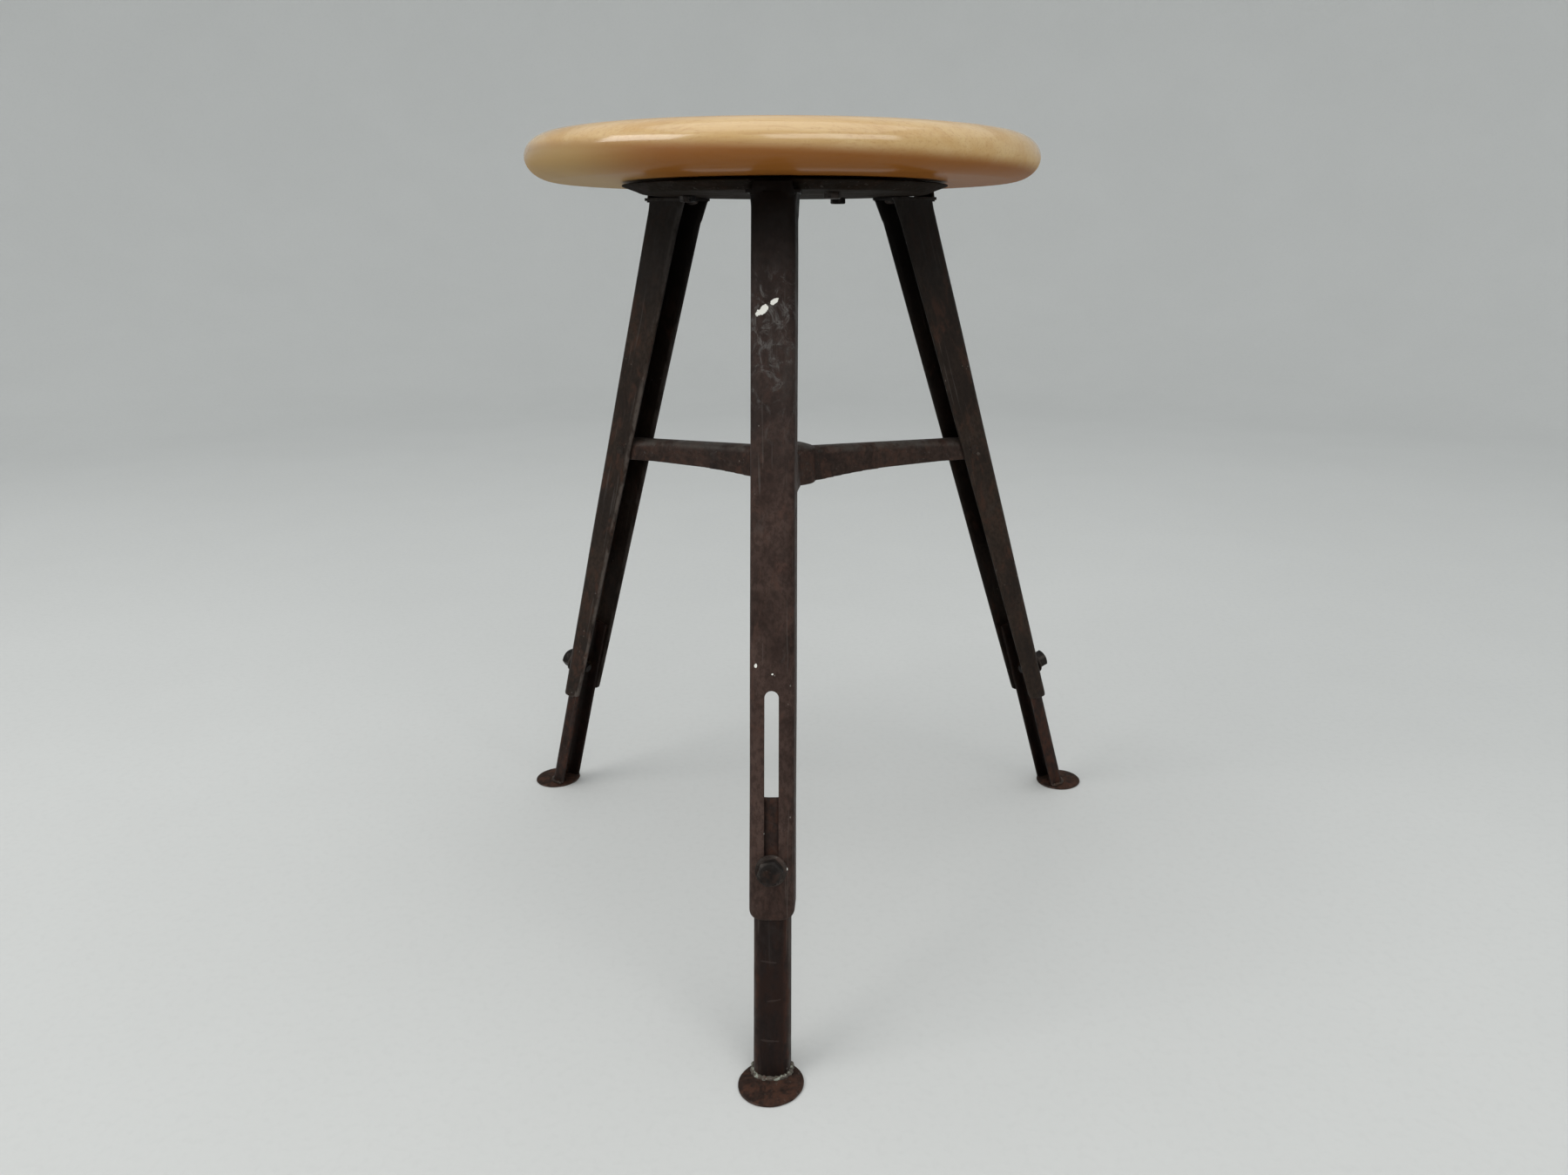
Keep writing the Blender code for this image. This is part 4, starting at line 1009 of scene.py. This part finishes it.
# ---------------------------------------------------------------- pieces
seat(wood)
pan(inner_steel)
brace(brace_steel)
for leg_side in SIDES:
    upper_leg(leg_side, front_steel if leg_side == "front" else side_steel)
    lower_leg(leg_side, nicked_steel if leg_side == "front" else brown_steel)
    weld_bead(leg_side, weld_steel if leg_side == "front" else brown_weld)
    foot(leg_side, foot_steel)
    clamp(leg_side, bolt_steel, dark_steel, inner_steel)
    brace_rivet(leg_side, flush_steel)

# CAD nodes whose shape is right as it is: only their material changes
CARRIED = {"bolt_steel": bolt_steel, "plain_steel": plain_steel, "dark_steel": dark_steel}
SLOTS = {s["node"]: s["material_slot"] for s in frame["record"]["subparts"]}
for node_name in ("swivel_plate", "bearing_ring", "pivot_bolt", "pivot_washer", "pivot_nut", "seat_screw_1",
                  "seat_screw_2", "seat_screw_3", "seat_screw_4", "ring_bolt_1", "ring_bolt_2", "ring_bolt_3",
                  *[f"leg_rivet_{s}_{n}" for s in SIDES for n in (1, 2)]):
    for kept in frame["nodes"][node_name].material_slots:
        kept.material = CARRIED[SLOTS[node_name]]

# ---------------------------------------------------------------- floor, light, camera
FLOOR_FLAT_R, COVE_R, WALL_TOP = 2.6, 1.8, 3.4
COVE_STEPS, BOWL_SIDES = 24, 120
SKY_COLOUR, SKY_STRENGTH = (0.80, 0.82, 0.82, 1.0), 0.84
MID_HEIGHT, SOFT_WHITE = (0.0, 0.0, 0.50), (1.0, 0.98, 0.95)


def studio_bowl():
    """Floor that curves up into a round wall, so that no horizon line shows."""
    profile = [(r, 0.0) for r in (0.3, 0.8, 1.5, 2.1, FLOOR_FLAT_R)]
    profile += [(FLOOR_FLAT_R + COVE_R * sin(a), COVE_R - COVE_R * cos(a))
                for a in (pi / 2 * k / COVE_STEPS for k in range(1, COVE_STEPS + 1))]
    profile.append((FLOOR_FLAT_R + COVE_R, WALL_TOP))
    bm = bmesh.new()
    angles = [2 * pi * k / BOWL_SIDES for k in range(BOWL_SIDES)]
    rows = [[bm.verts.new((r * cos(a), r * sin(a), z)) for a in angles] for r, z in profile]
    bm.faces.new(rows[0])
    for low, high in zip(rows, rows[1:]):
        for k in range(BOWL_SIDES):
            n = (k + 1) % BOWL_SIDES
            bm.faces.new((low[k], low[n], high[n], high[k]))
    return bm


studio = make("studio_floor", studio_bowl(), floor_paint("studio_floor_paint"))
for face in studio.data.polygons:
    face.use_smooth = True

world = bpy.data.worlds.new("studio")
world.use_nodes = True
sky = world.node_tree.nodes["Background"]
sky.inputs["Color"].default_value = SKY_COLOUR
sky.inputs["Strength"].default_value = SKY_STRENGTH
bpy.context.scene.world = world


def area_light(name, at, towards, size, power, colour):
    """Softbox of the given size and power in watts, hidden from the camera itself."""
    lamp = bpy.data.lights.new(name, "AREA")
    lamp.shape = "RECTANGLE"
    lamp.size, lamp.size_y = size
    lamp.energy = power
    lamp.color = colour
    holder = bpy.data.objects.new(name, lamp)
    holder.location = at
    holder.rotation_euler = (Vector(towards) - Vector(at)).to_track_quat("-Z", "Y").to_euler()
    holder.visible_camera = False
    bpy.context.collection.objects.link(holder)


area_light("overhead_soft", (0.0, -0.4, 2.7), (0.0, 0.0, 0.3), (3.0, 2.0), 17.0, (1.0, 0.99, 0.97))
area_light("left_soft", (-2.35, -1.30, 1.95), MID_HEIGHT, (2.0, 1.2), 31.0, SOFT_WHITE)
area_light("right_soft", (1.15, -2.50, 1.95), MID_HEIGHT, (3.0, 1.3), 32.0, SOFT_WHITE)

# camera at the photo's viewing angle; focal length and sensor in mm
CAM_AT = Vector((0.0600, -0.8475, 0.4889))
YAW, PITCH, ROLL = radians(-0.9518), radians(16.9519), radians(-0.1812)
FOCAL, SHIFT_X, SENSOR, NEAR_CLIP = 26.384, -0.04402, 36.0, 0.02
forward = Vector((sin(YAW) * cos(PITCH), cos(YAW) * cos(PITCH), -sin(PITCH)))
level_right = Vector((cos(YAW), -sin(YAW), 0.0))
level_up = level_right.cross(forward)
cam_right = level_right * cos(ROLL) + level_up * sin(ROLL)
cam_up = level_up * cos(ROLL) - level_right * sin(ROLL)
lens = bpy.data.cameras.new("photo_camera")
lens.sensor_fit = "HORIZONTAL"
lens.sensor_width = SENSOR
lens.lens = FOCAL
lens.shift_x = SHIFT_X
lens.clip_start = NEAR_CLIP
camera = bpy.data.objects.new("photo_camera", lens)
pose = Matrix((cam_right, cam_up, -forward)).transposed().to_4x4()
pose.translation = CAM_AT
camera.matrix_world = pose
bpy.context.collection.objects.link(camera)
bpy.context.scene.camera = camera
bpy.context.scene.view_settings.view_transform = "Standard"
